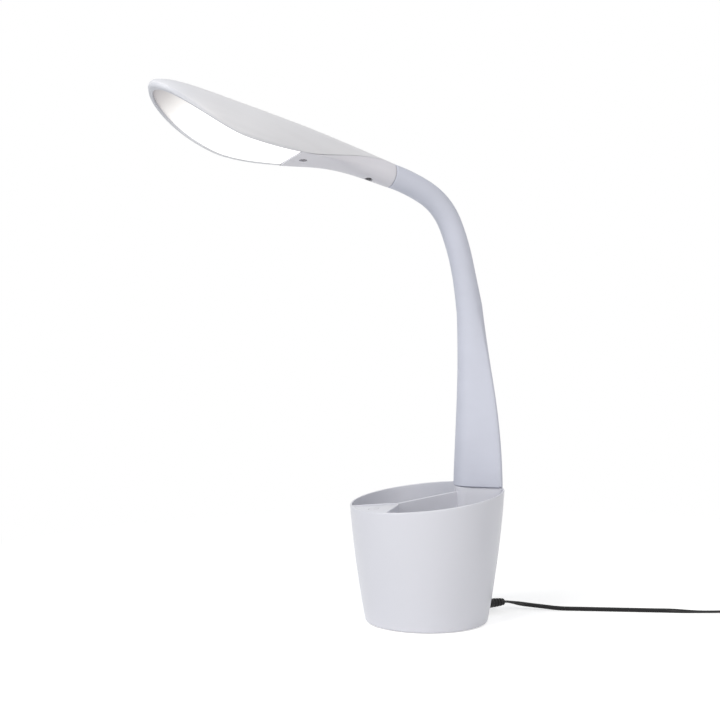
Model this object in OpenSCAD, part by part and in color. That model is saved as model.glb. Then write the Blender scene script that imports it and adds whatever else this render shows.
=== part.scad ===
// Desk lamp on a round organiser cup: flexible neck, leaf-shaped light head, low-voltage lead.
// Millimetres. Origin: centre of the base on the table, +Z up.
// The neck is at the rear (+Y), the head over the front (-Y).

/* [Cup] */
// Radius of the cup at the table
cup_bottom_r = 58; // [52:0.5:66]
// Radius of the cup at the rim height, on the axis
cup_top_r = 73.4; // [70:0.5:80]
// How far the wall bulges outside a straight cone at mid height
cup_bulge = 1.8; // [0:0.1:4]
// Height of the rim on the axis
rim_h = 118.6; // [100:0.5:130]
// Tilt of the rim plane, rising to the rear, degrees
rim_tilt = 6.7; // [3:0.1:8]
// Wall thickness of the cup
wall = 2.2; // [1.6:0.1:3]
// Rounding where the wall meets the underside
foot_round = 4.5; // [2:0.5:6]
// Height of the floor of the two compartments
floor_z = 24; // [22:0.5:34]
// Thickness of that floor
floor_t = 2.4; // [1.6:0.1:4]
// Rounding between the compartment floor and the wall
floor_round = 5; // [2:0.5:8]
// Thickness of the divider on the centre line
divider_t = 2; // [1.2:0.1:4]
// How far the divider and the ledge border lie below the rim
ledge_drop = 0.9; // [0.3:0.1:2]

/* [Ledge and pillar] */
// Distance from the axis to the nose of the front ledge
ledge_nose = 32.3; // [26:0.5:40]
// Nose radius of the ledge
ledge_nose_r = 11; // [8:0.5:14]
// Half angle of the V of the ledge, degrees
ledge_angle = 41; // [36:1:46]
// Distance from the axis to the nose of the rear pillar
pillar_nose = 34.2; // [31:0.1:38]
// Nose radius of the pillar
pillar_nose_r = 13; // [10:0.5:16]
// Half angle of the V of the pillar, degrees
pillar_angle = 42.4; // [38:0.2:46]
// Height of the flat top of the pillar
pillar_top = 126.3; // [124:0.1:132]
// Thickness of the touch panel
panel_t = 1.6; // [1.2:0.1:3]
// How far the touch panel lies below the ledge border
panel_sink = 0.7; // [0.3:0.1:1.5]
// Width of the border around the touch panel
panel_border = 1.8; // [1.2:0.1:3]

/* [Base inside] */
// Thickness of the bottom plate
plate_t = 2; // [1.5:0.1:3]
// How far the rubber pad lifts the cup off the table
lift = 0.8; // [0.5:0.1:1.2]
// How far the underside of the bottom plate lies above the table
plate_z = 1.6; // [1.4:0.1:2]
// Radius of the steel ballast disc
ballast_r = 41; // [36:0.5:42]
// Thickness of the steel ballast disc
ballast_t = 8; // [4:0.5:9]
// Distance of the four base screws from the axis
screw_ring_r = 46.5; // [46:0.5:48]
// Height of the centre of the DC socket
socket_z = 9.1; // [8.8:0.1:11]

/* [Neck] */
// Distance behind the axis where the flexible part of the neck starts
neck_y = 47.8; // [44:0.5:52]
// Height where the flexible part of the neck starts
neck_z = 299.2; // [260:1:330]
// Forward lean of the neck at its start, degrees
neck_lean = 9.7; // [4:0.1:14]
// Length of each of the four flexible sections
section_len = 40.7; // [36:0.1:46]
// Radius of the neck sleeve
sleeve_r = 11.2; // [11:0.1:12]
// Radius of the neck at the foot of the flexible part
neck_foot_r = 12.6; // [12.2:0.1:14]
// Radius of the steel gooseneck core
core_r = 4.5; // [3.5:0.1:5]
// Radial step between the sleeve and the balls of its joints
ball_step = 0.8; // [0.6:0.1:1]
// Gap between the moving pieces of the neck
joint_gap = 0.4; // [0.35:0.05:0.6]

/* [Head] */
// Length of the light head from the neck seam to its tip
head_len = 243.5; // [220:0.5:270]
// Largest half width of the head
head_half_w = 31; // [26:0.5:36]
// Height of the crown of the head above its axis
crown_h = 16.6; // [14:0.2:19]
// Deepest point of the rim below the axis of the head
rim_depth = 22.5; // [18:0.5:25]
// Distance from the neck seam to the rear edge of the diffuser
diffuser_u = 103; // [96:1:112]
// Pitch of the head above the horizontal, degrees
head_pitch = 13.8; // [8:0.2:20]
// Roll of the head about its own axis, degrees
head_roll = 9; // [0:1:20]
// Wall thickness of the head shells
shell_t = 1.8; // [1.4:0.1:2.4]

/* [Lead] */
// Width of the flat two-core lead
lead_w = 4.2; // [3.6:0.1:4.6]
// Height of the flat two-core lead
lead_h = 2.4; // [2:0.1:2.8]
// Diameter of the moulded body of the DC plug
plug_d = 9; // [8.6:0.2:10.4]
// Length of the moulded body of the DC plug
plug_len = 28; // [22:1:32]
// Middle radius of the wound coil of spare lead
coil_r = 23; // [21:0.5:25]
// Length of the body of the mains adaptor
adaptor_len = 60; // [50:1:70]

/* [Hidden] */
$fn = 96;
eps = 0.02;
fit = 0.2;            // clearance between pieces that do not move on each other
tall = 200;           // longer than any cut through the cup
wide = 240;           // wider than the cup

// ---------- cup ----------
function cup_r(z) = cup_bottom_r + (cup_top_r - cup_bottom_r) * z / rim_h
                  + cup_bulge * 4 * (z / rim_h) * (1 - z / rim_h);
function wall_line(z0, z1, inset, n = 14) =
  [for (i = [0:n]) let (z = z0 + (z1 - z0) * i / n) [cup_r(z) - inset, z]];
function corner(cx, cz, r, n = 8) =
  [for (i = [0:n - 1]) let (a = -90 + 90 * i / n) [cx + r * cos(a), cz + r * sin(a)]];
rim_top_z = rim_h + 16;
cavity_top = floor_z - floor_t;
cavity_r = cup_r(0) - wall - 3;
plate_top = plate_z + plate_t;
hollow_r = cup_r(plate_top) - wall - 0.4;

module cup_outer() {
  z1 = lift + foot_round;
  rotate_extrude($fn = 180)
    polygon(concat([[0, lift]], corner(cup_r(z1) - foot_round, z1, foot_round),
                   wall_line(z1, rim_top_z, 0), [[0, rim_top_z]]));
}

// Space inside the wall above height z0, with a rounded foot of radius r
module cup_inside(z0, r) {
  rotate_extrude($fn = 180)
    polygon(concat([[0, z0]], corner(cup_r(z0 + r) - wall - r, z0 + r, r),
                   wall_line(z0 + r, rim_top_z + 8, wall), [[0, rim_top_z + 8]]));
}

// Half space above a plane that lies n above the rim plane
module above_rim(n) {
  on_rim_plane() translate([-wide / 2, -wide / 2, n]) cube([wide, wide, tall]);
}
module on_rim_plane() { translate([0, 0, rim_h]) rotate([rim_tilt, 0, 0]) children(); }

// V with a round nose; side = 1 opens to the rear, side = -1 to the front; inset draws the walls in
module nose_2d(nose, nose_r, half_angle, side, inset = 0) {
  r = nose_r - inset;
  c = nose + nose_r;
  reach = 90;
  arc = [for (i = [0:12]) let (a = half_angle - 180 + (180 - 2 * half_angle) * i / 12)
    [r * cos(a), c + r * sin(a)]];
  far_x = r * cos(half_angle) + reach * sin(half_angle);
  far_y = c - r * sin(half_angle) + reach * cos(half_angle);
  scale([1, side]) polygon(concat(arc, [[far_x, far_y], [-far_x, far_y]]));
}
module ledge_2d(inset = 0) { nose_2d(ledge_nose, ledge_nose_r, ledge_angle, -1, inset); }
module pillar_2d(inset = 0) { nose_2d(pillar_nose, pillar_nose_r, pillar_angle, 1, inset); }
module divider_2d() {
  translate([-divider_t / 2, -ledge_nose - 5]) square([divider_t, ledge_nose + pillar_nose + 10]);
}

pillar_roof = 3;      // thickness of the top of the pillar
roof_z = pillar_top - pillar_roof;
boss_r = 4;
screw_r = 1.45;
pilot_r = 1.5;
part_h = 3.2;         // tallest component under the driver board
board_size = [52, 34, 1.6];
board_z = plate_top + ballast_t + 0.6 + part_h;
board_y = 8;
board_post = [19, 11];
board_post_r = 2.6;
socket_body = [9, 13, 10];
cheek_t = 1.6;        // thickness of the cheeks beside the socket
cheek_x = socket_body[0] / 2 + fit + cheek_t / 2;
base_angles = [45, 135, 225, 315];
shelf_drop = ledge_drop + panel_sink + panel_t;

// Frame whose z axis points to the rear, at height z
module rearward(y, z) { translate([0, y, z]) rotate([-90, 0, 0]) children(); }
module at_board_posts(z) {
  for (s = [-1, 1]) translate([s * board_post[0], board_y + s * board_post[1], z]) children();
}
module at_ring(angles, r, z = 0) {
  for (a = angles) rotate(a) translate([r, 0, z]) children();
}

// What stands in the hollow of the base: screw bosses, posts of the board, cheeks beside the socket
module base_bosses() {
  at_ring(base_angles, screw_ring_r, plate_top + fit)
    cylinder(h = cavity_top - plate_top, r = boss_r, $fn = 48);
  at_board_posts(board_z + board_size[2])
    cylinder(h = cavity_top - board_z - board_size[2] + 1, r = board_post_r, $fn = 32);
  for (s = [-1, 1]) translate([s * cheek_x - cheek_t / 2, socket_face_y - socket_body[1], socket_z - 3])
    cube([cheek_t, socket_body[1] + 2, cavity_top - socket_z - 2]);
}

module cup_body() color([0.93, 0.93, 0.95]) difference() {
  union() {
    difference() {
      cup_outer();
      above_rim(0);
    }
    intersection() {
      cup_outer();
      linear_extrude(pillar_top) pillar_2d();
    }
    boot_plinth();
  }
  // flat top behind the pillar
  difference() {
    translate([-wide / 2, -wide / 2, pillar_top]) cube([wide, wide, tall]);
    boot_plinth();
  }
  // two compartments
  difference() {
    cup_inside(floor_z, floor_round);
    linear_extrude(tall) ledge_2d();
    linear_extrude(tall) pillar_2d();
    linear_extrude(tall) divider_2d();
  }
  // border of the ledge and top of the divider, a little below the rim
  difference() {
    intersection() {
      cup_inside(floor_z, floor_round);
      above_rim(-ledge_drop);
    }
    linear_extrude(tall) pillar_2d();
  }
  // seat of the touch panel
  intersection() {
    above_rim(-shelf_drop);
    linear_extrude(tall) ledge_seat_2d();
  }
  // hollow of the base
  cylinder(h = plate_top + eps, r = cavity_r, $fn = 180);
  difference() {
    translate([0, 0, plate_top]) cylinder(h = cavity_top - plate_top, r = hollow_r, $fn = 180);
    base_bosses();
  }
  // hollow of the ledge column
  difference() {
    intersection() {
      cup_inside(cavity_top - 1, 1);
      linear_extrude(tall) ledge_2d(panel_border + wall);
    }
    above_rim(-shelf_drop + eps);
  }
  // hollow of the pillar
  intersection() {
    cup_inside(cavity_top - 1, 1);
    linear_extrude(roof_z) pillar_2d(wall);
  }
  // bore of the gooseneck root, socket opening, screw pilots
  translate([0, root_y, roof_z - 1]) cylinder(h = pillar_roof + 3, r = core_r + fit, $fn = 64);
  rearward(socket_face_y - 1, socket_z) cylinder(h = 14, r = socket_nose_r + fit, $fn = 64);
  at_ring(base_angles, screw_ring_r) cylinder(h = cavity_top - 2, r = pilot_r, $fn = 32);
  at_board_posts(board_z) cylinder(h = cavity_top - board_z + 1.2, r = 1.1, $fn = 24);
}

// Seat of the touch panel: the V of the ledge, drawn in by the border, inside the wall
module ledge_seat_2d(gap = 0) {
  intersection() {
    ledge_2d(panel_border + gap);
    circle(r = cup_r(rim_h - 12) - wall - panel_border - gap, $fn = 180);
  }
}

module touch_panel() color([0.9, 0.9, 0.92]) difference() {
  intersection() {
    linear_extrude(tall) ledge_seat_2d(fit);
    above_rim(-shelf_drop);
  }
  above_rim(-shelf_drop + panel_t);
}

touch_side = 16;
touch_t = 1.4;
module touch_board() color([0.1, 0.35, 0.2]) on_rim_plane()
  translate([-touch_side / 2, -ledge_nose - 2 * touch_side, -shelf_drop - touch_t])
    cube([touch_side, touch_side, touch_t]);

pad_r = screw_ring_r - 4.5;
pad_seat = 0.5;       // depth of the seat of the rubber pad in the bottom plate
head_seat = 0.8;      // depth of the seats of the base screws in the bottom plate
module bottom_plate() color([0.85, 0.85, 0.87]) difference() {
  translate([0, 0, plate_z]) cylinder(h = plate_t, r = cavity_r - fit, $fn = 180);
  at_ring(base_angles, screw_ring_r) cylinder(h = 10, r = pilot_r + 0.2, $fn = 32);
  at_ring(base_angles, screw_ring_r, plate_z - 1) cylinder(h = head_seat + 1, r = 3, $fn = 48);
  translate([0, 0, plate_z - 1]) cylinder(h = pad_seat + 1, r = pad_r + fit, $fn = 120);
}

module rubber_pad() color([0.2, 0.2, 0.2]) {
  cylinder(h = 0.5, r1 = pad_r - 0.5, r2 = pad_r, $fn = 120);
  translate([0, 0, 0.5]) cylinder(h = plate_z + pad_seat - 0.5, r = pad_r, $fn = 120);
}

module base_screws() color([0.6, 0.6, 0.62]) at_ring(base_angles, screw_ring_r) difference() {
  union() {
    translate([0, 0, plate_z + head_seat - 1.2]) cylinder(h = 1.2, r1 = 2.3, r2 = 2.7, $fn = 48);
    translate([0, 0, plate_z + head_seat - eps]) cylinder(h = 11, r = screw_r, $fn = 32);
  }
  for (b = [0, 90]) rotate(b) translate([-1.5, -0.25, plate_z + head_seat - 2]) cube([3, 0.5, 1.4]);
}

module ballast_disc() color([0.45, 0.45, 0.47]) difference() {
  translate([0, 0, plate_top]) cylinder(h = ballast_t, r = ballast_r, $fn = 120);
  translate([0, 0, plate_z]) cylinder(h = tall, r = 4, $fn = 48);
}

module driver_board() color([0.1, 0.35, 0.2]) difference() {
  union() {
    translate([-board_size[0] / 2, board_y - board_size[1] / 2, board_z]) cube(board_size);
    translate([-14, board_y - 4, board_z - part_h]) cube([9, 9, part_h + eps]);
    translate([2, board_y - 9, board_z - 2.6]) cube([7, 5, 2.6 + eps]);
    translate([12, board_y + 2, board_z - 1.5]) cylinder(h = 1.5 + eps, r = 3.4, $fn = 40);
  }
  at_board_posts(0) cylinder(h = tall, r = 1.4, $fn = 32);
}

module board_screws() color([0.7, 0.7, 0.7]) at_board_posts(board_z) {
  translate([0, 0, -1.3]) cylinder(h = 1.3, r = 2.3, $fn = 40);
  translate([0, 0, -eps]) cylinder(h = cavity_top - board_z + 0.8, r = 1.05, $fn = 24);
}

socket_face_y = hollow_r - 0.3;
socket_nose_r = 3.9;
barrel_r = 2.75;
plug_y = cup_r(socket_z) + 1;
module dc_socket() color([0.12, 0.12, 0.12]) difference() {
  union() {
    translate([-socket_body[0] / 2, socket_face_y - socket_body[1], socket_z - socket_body[2] / 2])
      cube(socket_body);
    rearward(socket_face_y - 1, socket_z)
      cylinder(h = plug_y - socket_face_y + 0.7, r = socket_nose_r, $fn = 64);
  }
  rearward(socket_face_y - 10, socket_z) cylinder(h = 20, r = barrel_r + 0.15, $fn = 48);
}
module socket_pin() color([0.8, 0.75, 0.5])
  rearward(socket_face_y - 10, socket_z) cylinder(h = 9, r = 0.95, $fn = 32);

// ---------- neck ----------
section_turn = [3.8, 10.9, 38.2];
function sum_to(v, i) = i < 0 ? 0 : v[i] + sum_to(v, i - 1);
lean = [for (i = [0:4]) i < 4 ? neck_lean + sum_to(section_turn, i - 1) : 90 - head_pitch];
deg_per_rad = 180 / PI;
function bend_r(i) = section_len * deg_per_rad / (lean[i + 1] - lean[i]);
function chord_of(i) = bend_r(i) * [0, cos(lean[i + 1]) - cos(lean[i]), sin(lean[i + 1]) - sin(lean[i])];
function joint_at(i) = i == 0 ? [0, neck_y, neck_z] : joint_at(i - 1) + chord_of(i - 1);
function dir(a) = [0, -sin(a), cos(a)];
lip = 3.2;            // the socket stops this far short of the joint centre
function sleeve_r_at(i) = i == 0 ? neck_foot_r : sleeve_r;
function shoulder(i) = 0.27 * sleeve_r_at(i);
function ball_r(i) = sleeve_r_at(i) - ball_step;
function arc_deg(i, len) = len / bend_r(i) * deg_per_rad;

// Round rod along section i, from lean a0 to lean a1
module bend_rod(i, a0, a1, r) {
  translate(joint_at(i) - bend_r(i) * [0, cos(lean[i]), sin(lean[i])]) rotate([90, 0, 90]) rotate(a0)
    rotate_extrude(angle = a1 - a0, $fn = 360) translate([bend_r(i), 0]) circle(r = r, $fn = 64);
}

// Cone or cylinder from point p along lean a
module along(p, a, h, r1, r2) {
  translate(p) rotate([a, 0, 0]) cylinder(h = h, r1 = r1, r2 = r2, $fn = 96);
}

// Section of the boot at its foot: a V with a round nose inside the circle of the wall
boot_r = cup_r(pillar_top) - 0.8;
boot_c = pillar_nose + 21.8;
boot_mid_y = boot_c + 7.3;
boot_over = 0.8;      // the boot stands this far over the nose of the pillar
boot_side = pillar_nose_r + sin(pillar_angle) * (boot_c - pillar_nose - pillar_nose_r) + boot_over + 1.3;
boot_sides = [
  [-pillar_angle, boot_side], [180 + pillar_angle, boot_side], [-90, boot_c - pillar_nose + boot_over],
  [90, boot_r - boot_c], [68, boot_r - boot_c * cos(22)], [112, boot_r - boot_c * cos(22)]
];
soft = 10;            // higher values make sharper corners
function total(v) = v * [for (x = v) 1];
function boot_edge(a) =
  pow(total([for (s = boot_sides) pow(max(0, cos(a - s[0])) / s[1], soft)]), -1 / soft);
function ease(t) = t * t * (3 - 2 * t);
boot_n = 40;
boot_rows = 22;
plinth_h = 0.4;
boot_z0 = pillar_top + plinth_h;
boot_top = joint_at(0) - lip * dir(neck_lean);
function boot_share(t) = let (u = pow(t, 1.3)) 1 - 0.33 * ease(u) - 0.67 * u;
function boot_center(t) =
  [0, boot_mid_y + (boot_top[1] - boot_mid_y) * pow(t, 0.7), boot_z0 + (boot_top[2] - boot_z0) * t];
function boot_point(t, a) =
  let (s = boot_share(t), c = boot_center(t), q = neck_lean * t,
       x = (1 - s) * neck_foot_r * cos(a) + s * boot_edge(a) * cos(a),
       v = (1 - s) * neck_foot_r * sin(a) + s * (boot_edge(a) * sin(a) + boot_c - c[1]))
  [x, c[1] + v * cos(q), c[2] + v * sin(q)];

// Closed skin through rows of points, each row a ring of n points, capped at both ends
module skin(rows, n) {
  m = len(rows);
  polyhedron(
    points = [for (r = rows) for (p = r) p],
    faces = concat(
      [for (j = [1:n - 2]) [0, j, j + 1]],
      [for (i = [0:m - 2]) for (j = [0:n - 1]) [i * n + j, (i + 1) * n + j, (i + 1) * n + (j + 1) % n]],
      [for (i = [0:m - 2]) for (j = [0:n - 1]) [i * n + j, (i + 1) * n + (j + 1) % n, i * n + (j + 1) % n]],
      [for (j = [1:n - 2]) [(m - 1) * n, (m - 1) * n + j + 1, (m - 1) * n + j]]));
}

module boot_plinth() {
  translate([0, 0, pillar_top - 1]) linear_extrude(plinth_h + 1)
    polygon([for (j = [0:boot_n - 1]) let (a = 360 * j / boot_n)
      (boot_edge(a) - 3) * [cos(a), sin(a)] + [0, boot_c]]);
}

root_y = pillar_nose + 0.58 * (cup_r(pillar_top) - pillar_nose);
collar_h = 11;
coupler_z = boot_z0 + 9;
root_vec = joint_at(0) - (ball_r(0) + joint_gap) * dir(neck_lean) - [0, root_y, coupler_z];
root_lean = atan2(-root_vec[1], root_vec[2]);

module neck_boot() color([0.86, 0.87, 0.91]) difference() {
  skin([for (i = [0:boot_rows])
    [for (j = [0:boot_n - 1]) boot_point(i / boot_rows, 360 * j / boot_n)]], boot_n);
  translate(joint_at(0)) sphere(r = ball_r(0) + joint_gap, $fn = 96);
  translate([0, root_y, boot_z0 - 1]) cylinder(h = collar_h + 1.2, r = core_r + 2.2, $fn = 64);
  along([0, root_y, coupler_z], root_lean, norm(root_vec) + 2, bore_r, bore_r);
}

nut_h = 6;
washer_t = 1.5;
module gooseneck_root() color([0.5, 0.5, 0.52]) {
  translate([0, root_y, boot_z0 - 16]) cylinder(h = 16 + 9, r = core_r, $fn = 64);
  translate([0, root_y, boot_z0 + 0.1]) cylinder(h = collar_h, r = core_r + 2, $fn = 64);
  along([0, root_y, coupler_z], root_lean, norm(root_vec) - 0.3, core_r, core_r);
}

module neck_washer() color([0.7, 0.7, 0.72]) difference() {
  translate([0, root_y, roof_z - washer_t]) cylinder(h = washer_t, r = core_r + 5, $fn = 64);
  translate([0, root_y, 0]) cylinder(h = tall, r = core_r + fit, $fn = 64);
}

module neck_nut() color([0.7, 0.7, 0.72]) difference() {
  translate([0, root_y, roof_z - washer_t - nut_h]) cylinder(h = nut_h, r = core_r + 4, $fn = 6);
  translate([0, root_y, 0]) cylinder(h = tall, r = core_r + 0.1, $fn = 64);
}

seg1_vec = chord_of(0);
seg1_lean = atan2(-seg1_vec[1], seg1_vec[2]);
seg1_len = norm(seg1_vec);
core_start = 9;       // the core starts this far before the joint centre, inside the ball
core_stop = joint_gap + 0.3;   // and stops this far short of the next ball
bore_r = core_r + 0.1;         // bore of the sleeves
module neck_sleeve_1() color([0.86, 0.87, 0.91]) difference() {
  union() {
    along(joint_at(0) + shoulder(0) * dir(seg1_lean), seg1_lean, seg1_len - shoulder(0) - lip,
          neck_foot_r, sleeve_r);
    translate(joint_at(0)) sphere(r = ball_r(0), $fn = 96);
  }
  translate(joint_at(1)) sphere(r = ball_r(1) + joint_gap, $fn = 96);
  along(joint_at(0) - 20 * dir(seg1_lean), seg1_lean, seg1_len + 30, bore_r, bore_r);
}
module gooseneck_core_1() color([0.5, 0.5, 0.52])
  along(joint_at(0) - core_start * dir(seg1_lean), seg1_lean, seg1_len + core_start - ball_r(1) - core_stop,
        core_r, core_r);

// Sleeve of a curved section: ball at its foot, socket at its top, or a flat end with a bore for the spigot
module curved_sleeve(i, flat_end) {
  end = flat_end ? joint_gap / 2 : lip;
  difference() {
    union() {
      bend_rod(i, lean[i] + arc_deg(i, shoulder(i)), lean[i + 1] - arc_deg(i, end), sleeve_r);
      translate(joint_at(i)) sphere(r = ball_r(i), $fn = 96);
    }
    if (!flat_end) translate(joint_at(i + 1)) sphere(r = ball_r(i + 1) + joint_gap, $fn = 96);
    bend_rod(i, lean[i] - arc_deg(i, 14), lean[i + 1] + arc_deg(i, flat_end ? 1 - spigot_in : 6), bore_r);
    if (flat_end)
      along(joint_at(i + 1) - spigot_in * dir(lean[i + 1]), lean[i + 1], spigot_in + 5,
            spigot_r + 0.1, spigot_r + 0.1);
  }
}
module curved_core(i, end_gap) {
  bend_rod(i, lean[i] - arc_deg(i, core_start), lean[i + 1] - arc_deg(i, end_gap), core_r);
}
module neck_sleeve_2() color([0.86, 0.87, 0.91]) curved_sleeve(1, false);
module gooseneck_core_2() color([0.5, 0.5, 0.52]) curved_core(1, ball_r(2) + core_stop);
module neck_sleeve_3() color([0.86, 0.87, 0.91]) curved_sleeve(2, false);
module gooseneck_core_3() color([0.5, 0.5, 0.52]) curved_core(2, ball_r(3) + core_stop);
module neck_sleeve_4() color([0.86, 0.87, 0.91]) curved_sleeve(3, true);
spigot_in = 12;
spigot_out = 15;
spigot_r = core_r + 0.9;
module gooseneck_core_4() color([0.5, 0.5, 0.52]) {
  curved_core(3, spigot_in - 2);
  along(joint_at(4) - spigot_in * dir(lean[4]), lean[4], spigot_in + spigot_out, spigot_r, spigot_r);
}

// ---------- head: x across, tip towards -y, z up, before it is pitched and rolled ----------
module place_head() {
  translate(joint_at(4)) rotate([-head_pitch, 0, 0]) rotate([0, -head_roll, 0]) children();
}
widest_u = head_len - 65;
deepest_u = head_len - 85;
crown_u = 150;
tip_n = 4.4;         // height of the rim at the tip
function clamp01(t) = min(1, max(0, t));
function half_w(u) = u < widest_u
  ? sleeve_r + (head_half_w - sleeve_r) * ease(clamp01((u - 20) / (widest_u - 35)))
  : head_half_w * sqrt(max(0, 1 - pow((u - widest_u) / (head_len - widest_u), 2.4)));
function crown(u) = u < crown_u
  ? crown_h - (crown_h - sleeve_r) * pow(clamp01(1 - u / (crown_u - 40)), 2)
  : tip_n + (crown_h - tip_n) * pow(max(0, 1 - pow((u - crown_u) / (head_len - crown_u), 4)), 0.25);
function rim_n(u) = u < deepest_u
  ? -rim_depth * ease(u / deepest_u)
  : -rim_depth + (rim_depth + tip_n) * pow((u - deepest_u) / (head_len - deepest_u), 1.6);
function belly(u) = max(0.9, sleeve_r * (1 - ease(clamp01(u / 96))));
function dish(u) = 1.2 * pow(clamp01(u / diffuser_u), 3);
function parting(u) = 66 * pow(clamp01(1 - u / diffuser_u), 2);
seam_drop = 0.15;     // the rear cover lies this far below the edge of the top shell
// Point on the head at distance u from the seam and angle a around the section, t inside the surface
function top_point(u, a, t) =
  [(half_w(u) - t) * cos(a), -u, rim_n(u) + (crown(u) - rim_n(u) - t) * sin(a)];
function cover_point(u, a, t) =
  [(half_w(u) - t) * cos(a), -u, rim_n(u) - seam_drop
    + (sin(a) >= 0 ? crown(u) - rim_n(u) - t : belly(u) - t - dish(u) * pow(sin(a), 2)) * sin(a)];
function cover_low(u) = rim_n(u) - seam_drop - belly(u) + dish(u);

seam_u = joint_gap / 2;
rear_rows = 9;
front_rows = 20;
tip_gap = 0.05;
rear_u = [for (i = [0:rear_rows]) seam_u + (diffuser_u - seam_u) * i / rear_rows];
front_u = [for (i = [1:front_rows])
  diffuser_u + (head_len - tip_gap - diffuser_u) * sin(90 * i / front_rows)];
inner_end = head_len - 1.5 * shell_t;
inner_share = (inner_end - diffuser_u) / (head_len - diffuser_u);
function inner_u(u) = u < diffuser_u ? u : diffuser_u + (u - diffuser_u) * inner_share;

// Curved wall between an outer and an inner grid of points, m rows of n points, closed along its edges
module thick_wall(outer, inner) {
  m = len(outer);
  n = len(outer[0]);
  k = m * n;
  e = n - 1;
  b = (m - 1) * n;
  polyhedron(
    points = concat([for (r = outer) for (p = r) p], [for (r = inner) for (p = r) p]),
    faces = [for (f = concat(
      [for (i = [0:m - 2]) for (j = [0:n - 2]) [i * n + j, i * n + j + 1, (i + 1) * n + j + 1]],
      [for (i = [0:m - 2]) for (j = [0:n - 2]) [i * n + j, (i + 1) * n + j + 1, (i + 1) * n + j]],
      [for (i = [0:m - 2]) for (j = [0:n - 2]) [k + i * n + j, k + (i + 1) * n + j + 1, k + i * n + j + 1]],
      [for (i = [0:m - 2]) for (j = [0:n - 2]) [k + i * n + j, k + (i + 1) * n + j, k + (i + 1) * n + j + 1]],
      [for (i = [0:m - 2]) [i * n, (i + 1) * n, k + (i + 1) * n]],
      [for (i = [0:m - 2]) [i * n, k + (i + 1) * n, k + i * n]],
      [for (i = [0:m - 2]) [i * n + e, k + (i + 1) * n + e, (i + 1) * n + e]],
      [for (i = [0:m - 2]) [i * n + e, k + i * n + e, k + (i + 1) * n + e]],
      [for (j = [0:n - 2]) [j, k + j, k + j + 1]],
      [for (j = [0:n - 2]) [j, k + j + 1, j + 1]],
      [for (j = [0:n - 2]) [b + j, k + b + j + 1, k + b + j]],
      [for (j = [0:n - 2]) [b + j, b + j + 1, k + b + j + 1]])) [f[2], f[1], f[0]]]);
}

shell_cols = 20;
function arch(u, v, t) =
  [for (j = [0:shell_cols]) top_point(v, parting(u) + (180 - 2 * parting(u)) * j / shell_cols, t)];
module top_skin() {
  us = concat(rear_u, front_u);
  thick_wall([for (u = us) arch(u, u, 0)], [for (u = us) arch(u, inner_u(u), shell_t)]);
}

led_u = [diffuser_u + 9, head_len - 23];
led_w = 26;
led_n = 3;
led_t = 1.6;
led_posts = [led_u[0] + 10, (led_u[0] + led_u[1]) / 2, led_u[1] - 10];
front_screw_u = diffuser_u - 12;
rear_screw_u = 22.7;
well_r = 3.7;         // bore of the screw wells in the rear cover
well_t = 1.4;         // wall and floor of the screw wells
well_out_r = well_r + well_t;
front_floor = cover_low(front_screw_u) + 3.6;
rear_floor = cover_low(rear_screw_u) + 2;
module head_top_shell() color([0.92, 0.92, 0.94]) place_head() difference() {
  union() {
    top_skin();
    for (u = led_posts) translate([0, -u, led_n + led_t])
      cylinder(h = crown(u) - shell_t - led_n - led_t + 0.7, r = 3, $fn = 32);
    translate([0, -front_screw_u, front_floor + well_t + fit])
      cylinder(h = crown(front_screw_u) - shell_t - front_floor - well_t + 0.5, r = 3.4, $fn = 32);
  }
  for (u = led_posts) translate([0, -u, led_n]) cylinder(h = 7, r = 1.05, $fn = 24);
  translate([0, -front_screw_u, front_floor]) cylinder(h = 12, r = 1.25, $fn = 24);
}

cover_cols = 26;
split = 0.7;          // half the parting gap, in degrees around the section
function trough(u, t) =
  let (a = 180 - parting(u) + split, b = 360 + parting(u) - split)
  [for (j = [0:cover_cols]) cover_point(u, a + (b - a) * j / cover_cols, t)];
module head_rear_cover() color([0.9, 0.9, 0.93]) place_head() difference() {
  union() {
    thick_wall([for (u = rear_u) trough(u, 0)], [for (u = rear_u) trough(u, shell_t)]);
    translate([0, -front_screw_u, front_floor - 2.6]) cylinder(h = well_t + 2.6, r = well_out_r, $fn = 48);
    translate([0, -rear_screw_u, rear_floor - 0.5]) cylinder(h = well_t + 0.5, r = well_out_r, $fn = 48);
  }
  translate([0, -front_screw_u, front_floor - 20]) cylinder(h = 20, r = well_r, $fn = 48);
  translate([0, -front_screw_u, front_floor - 5]) cylinder(h = 10, r = 1.7, $fn = 32);
  translate([0, -rear_screw_u, rear_floor - 20]) cylinder(h = 20, r = well_r, $fn = 48);
  translate([0, -rear_screw_u, rear_floor - 5]) cylinder(h = 8, r = 1.7, $fn = 32);
}

module head_screws() color([0.6, 0.6, 0.62]) place_head() {
  translate([0, -front_screw_u, front_floor]) {
    translate([0, 0, -1.8]) cylinder(h = 1.8, r1 = 2.4, r2 = 2.8, $fn = 40);
    translate([0, 0, -eps]) cylinder(h = 11, r = 1.2, $fn = 24);
  }
  translate([0, -rear_screw_u, rear_floor]) {
    translate([0, 0, -1.5]) cylinder(h = 1.5, r1 = 2.4, r2 = 2.8, $fn = 40);
    translate([0, 0, -eps]) cylinder(h = 5, r = 1.2, $fn = 24);
  }
}

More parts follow.
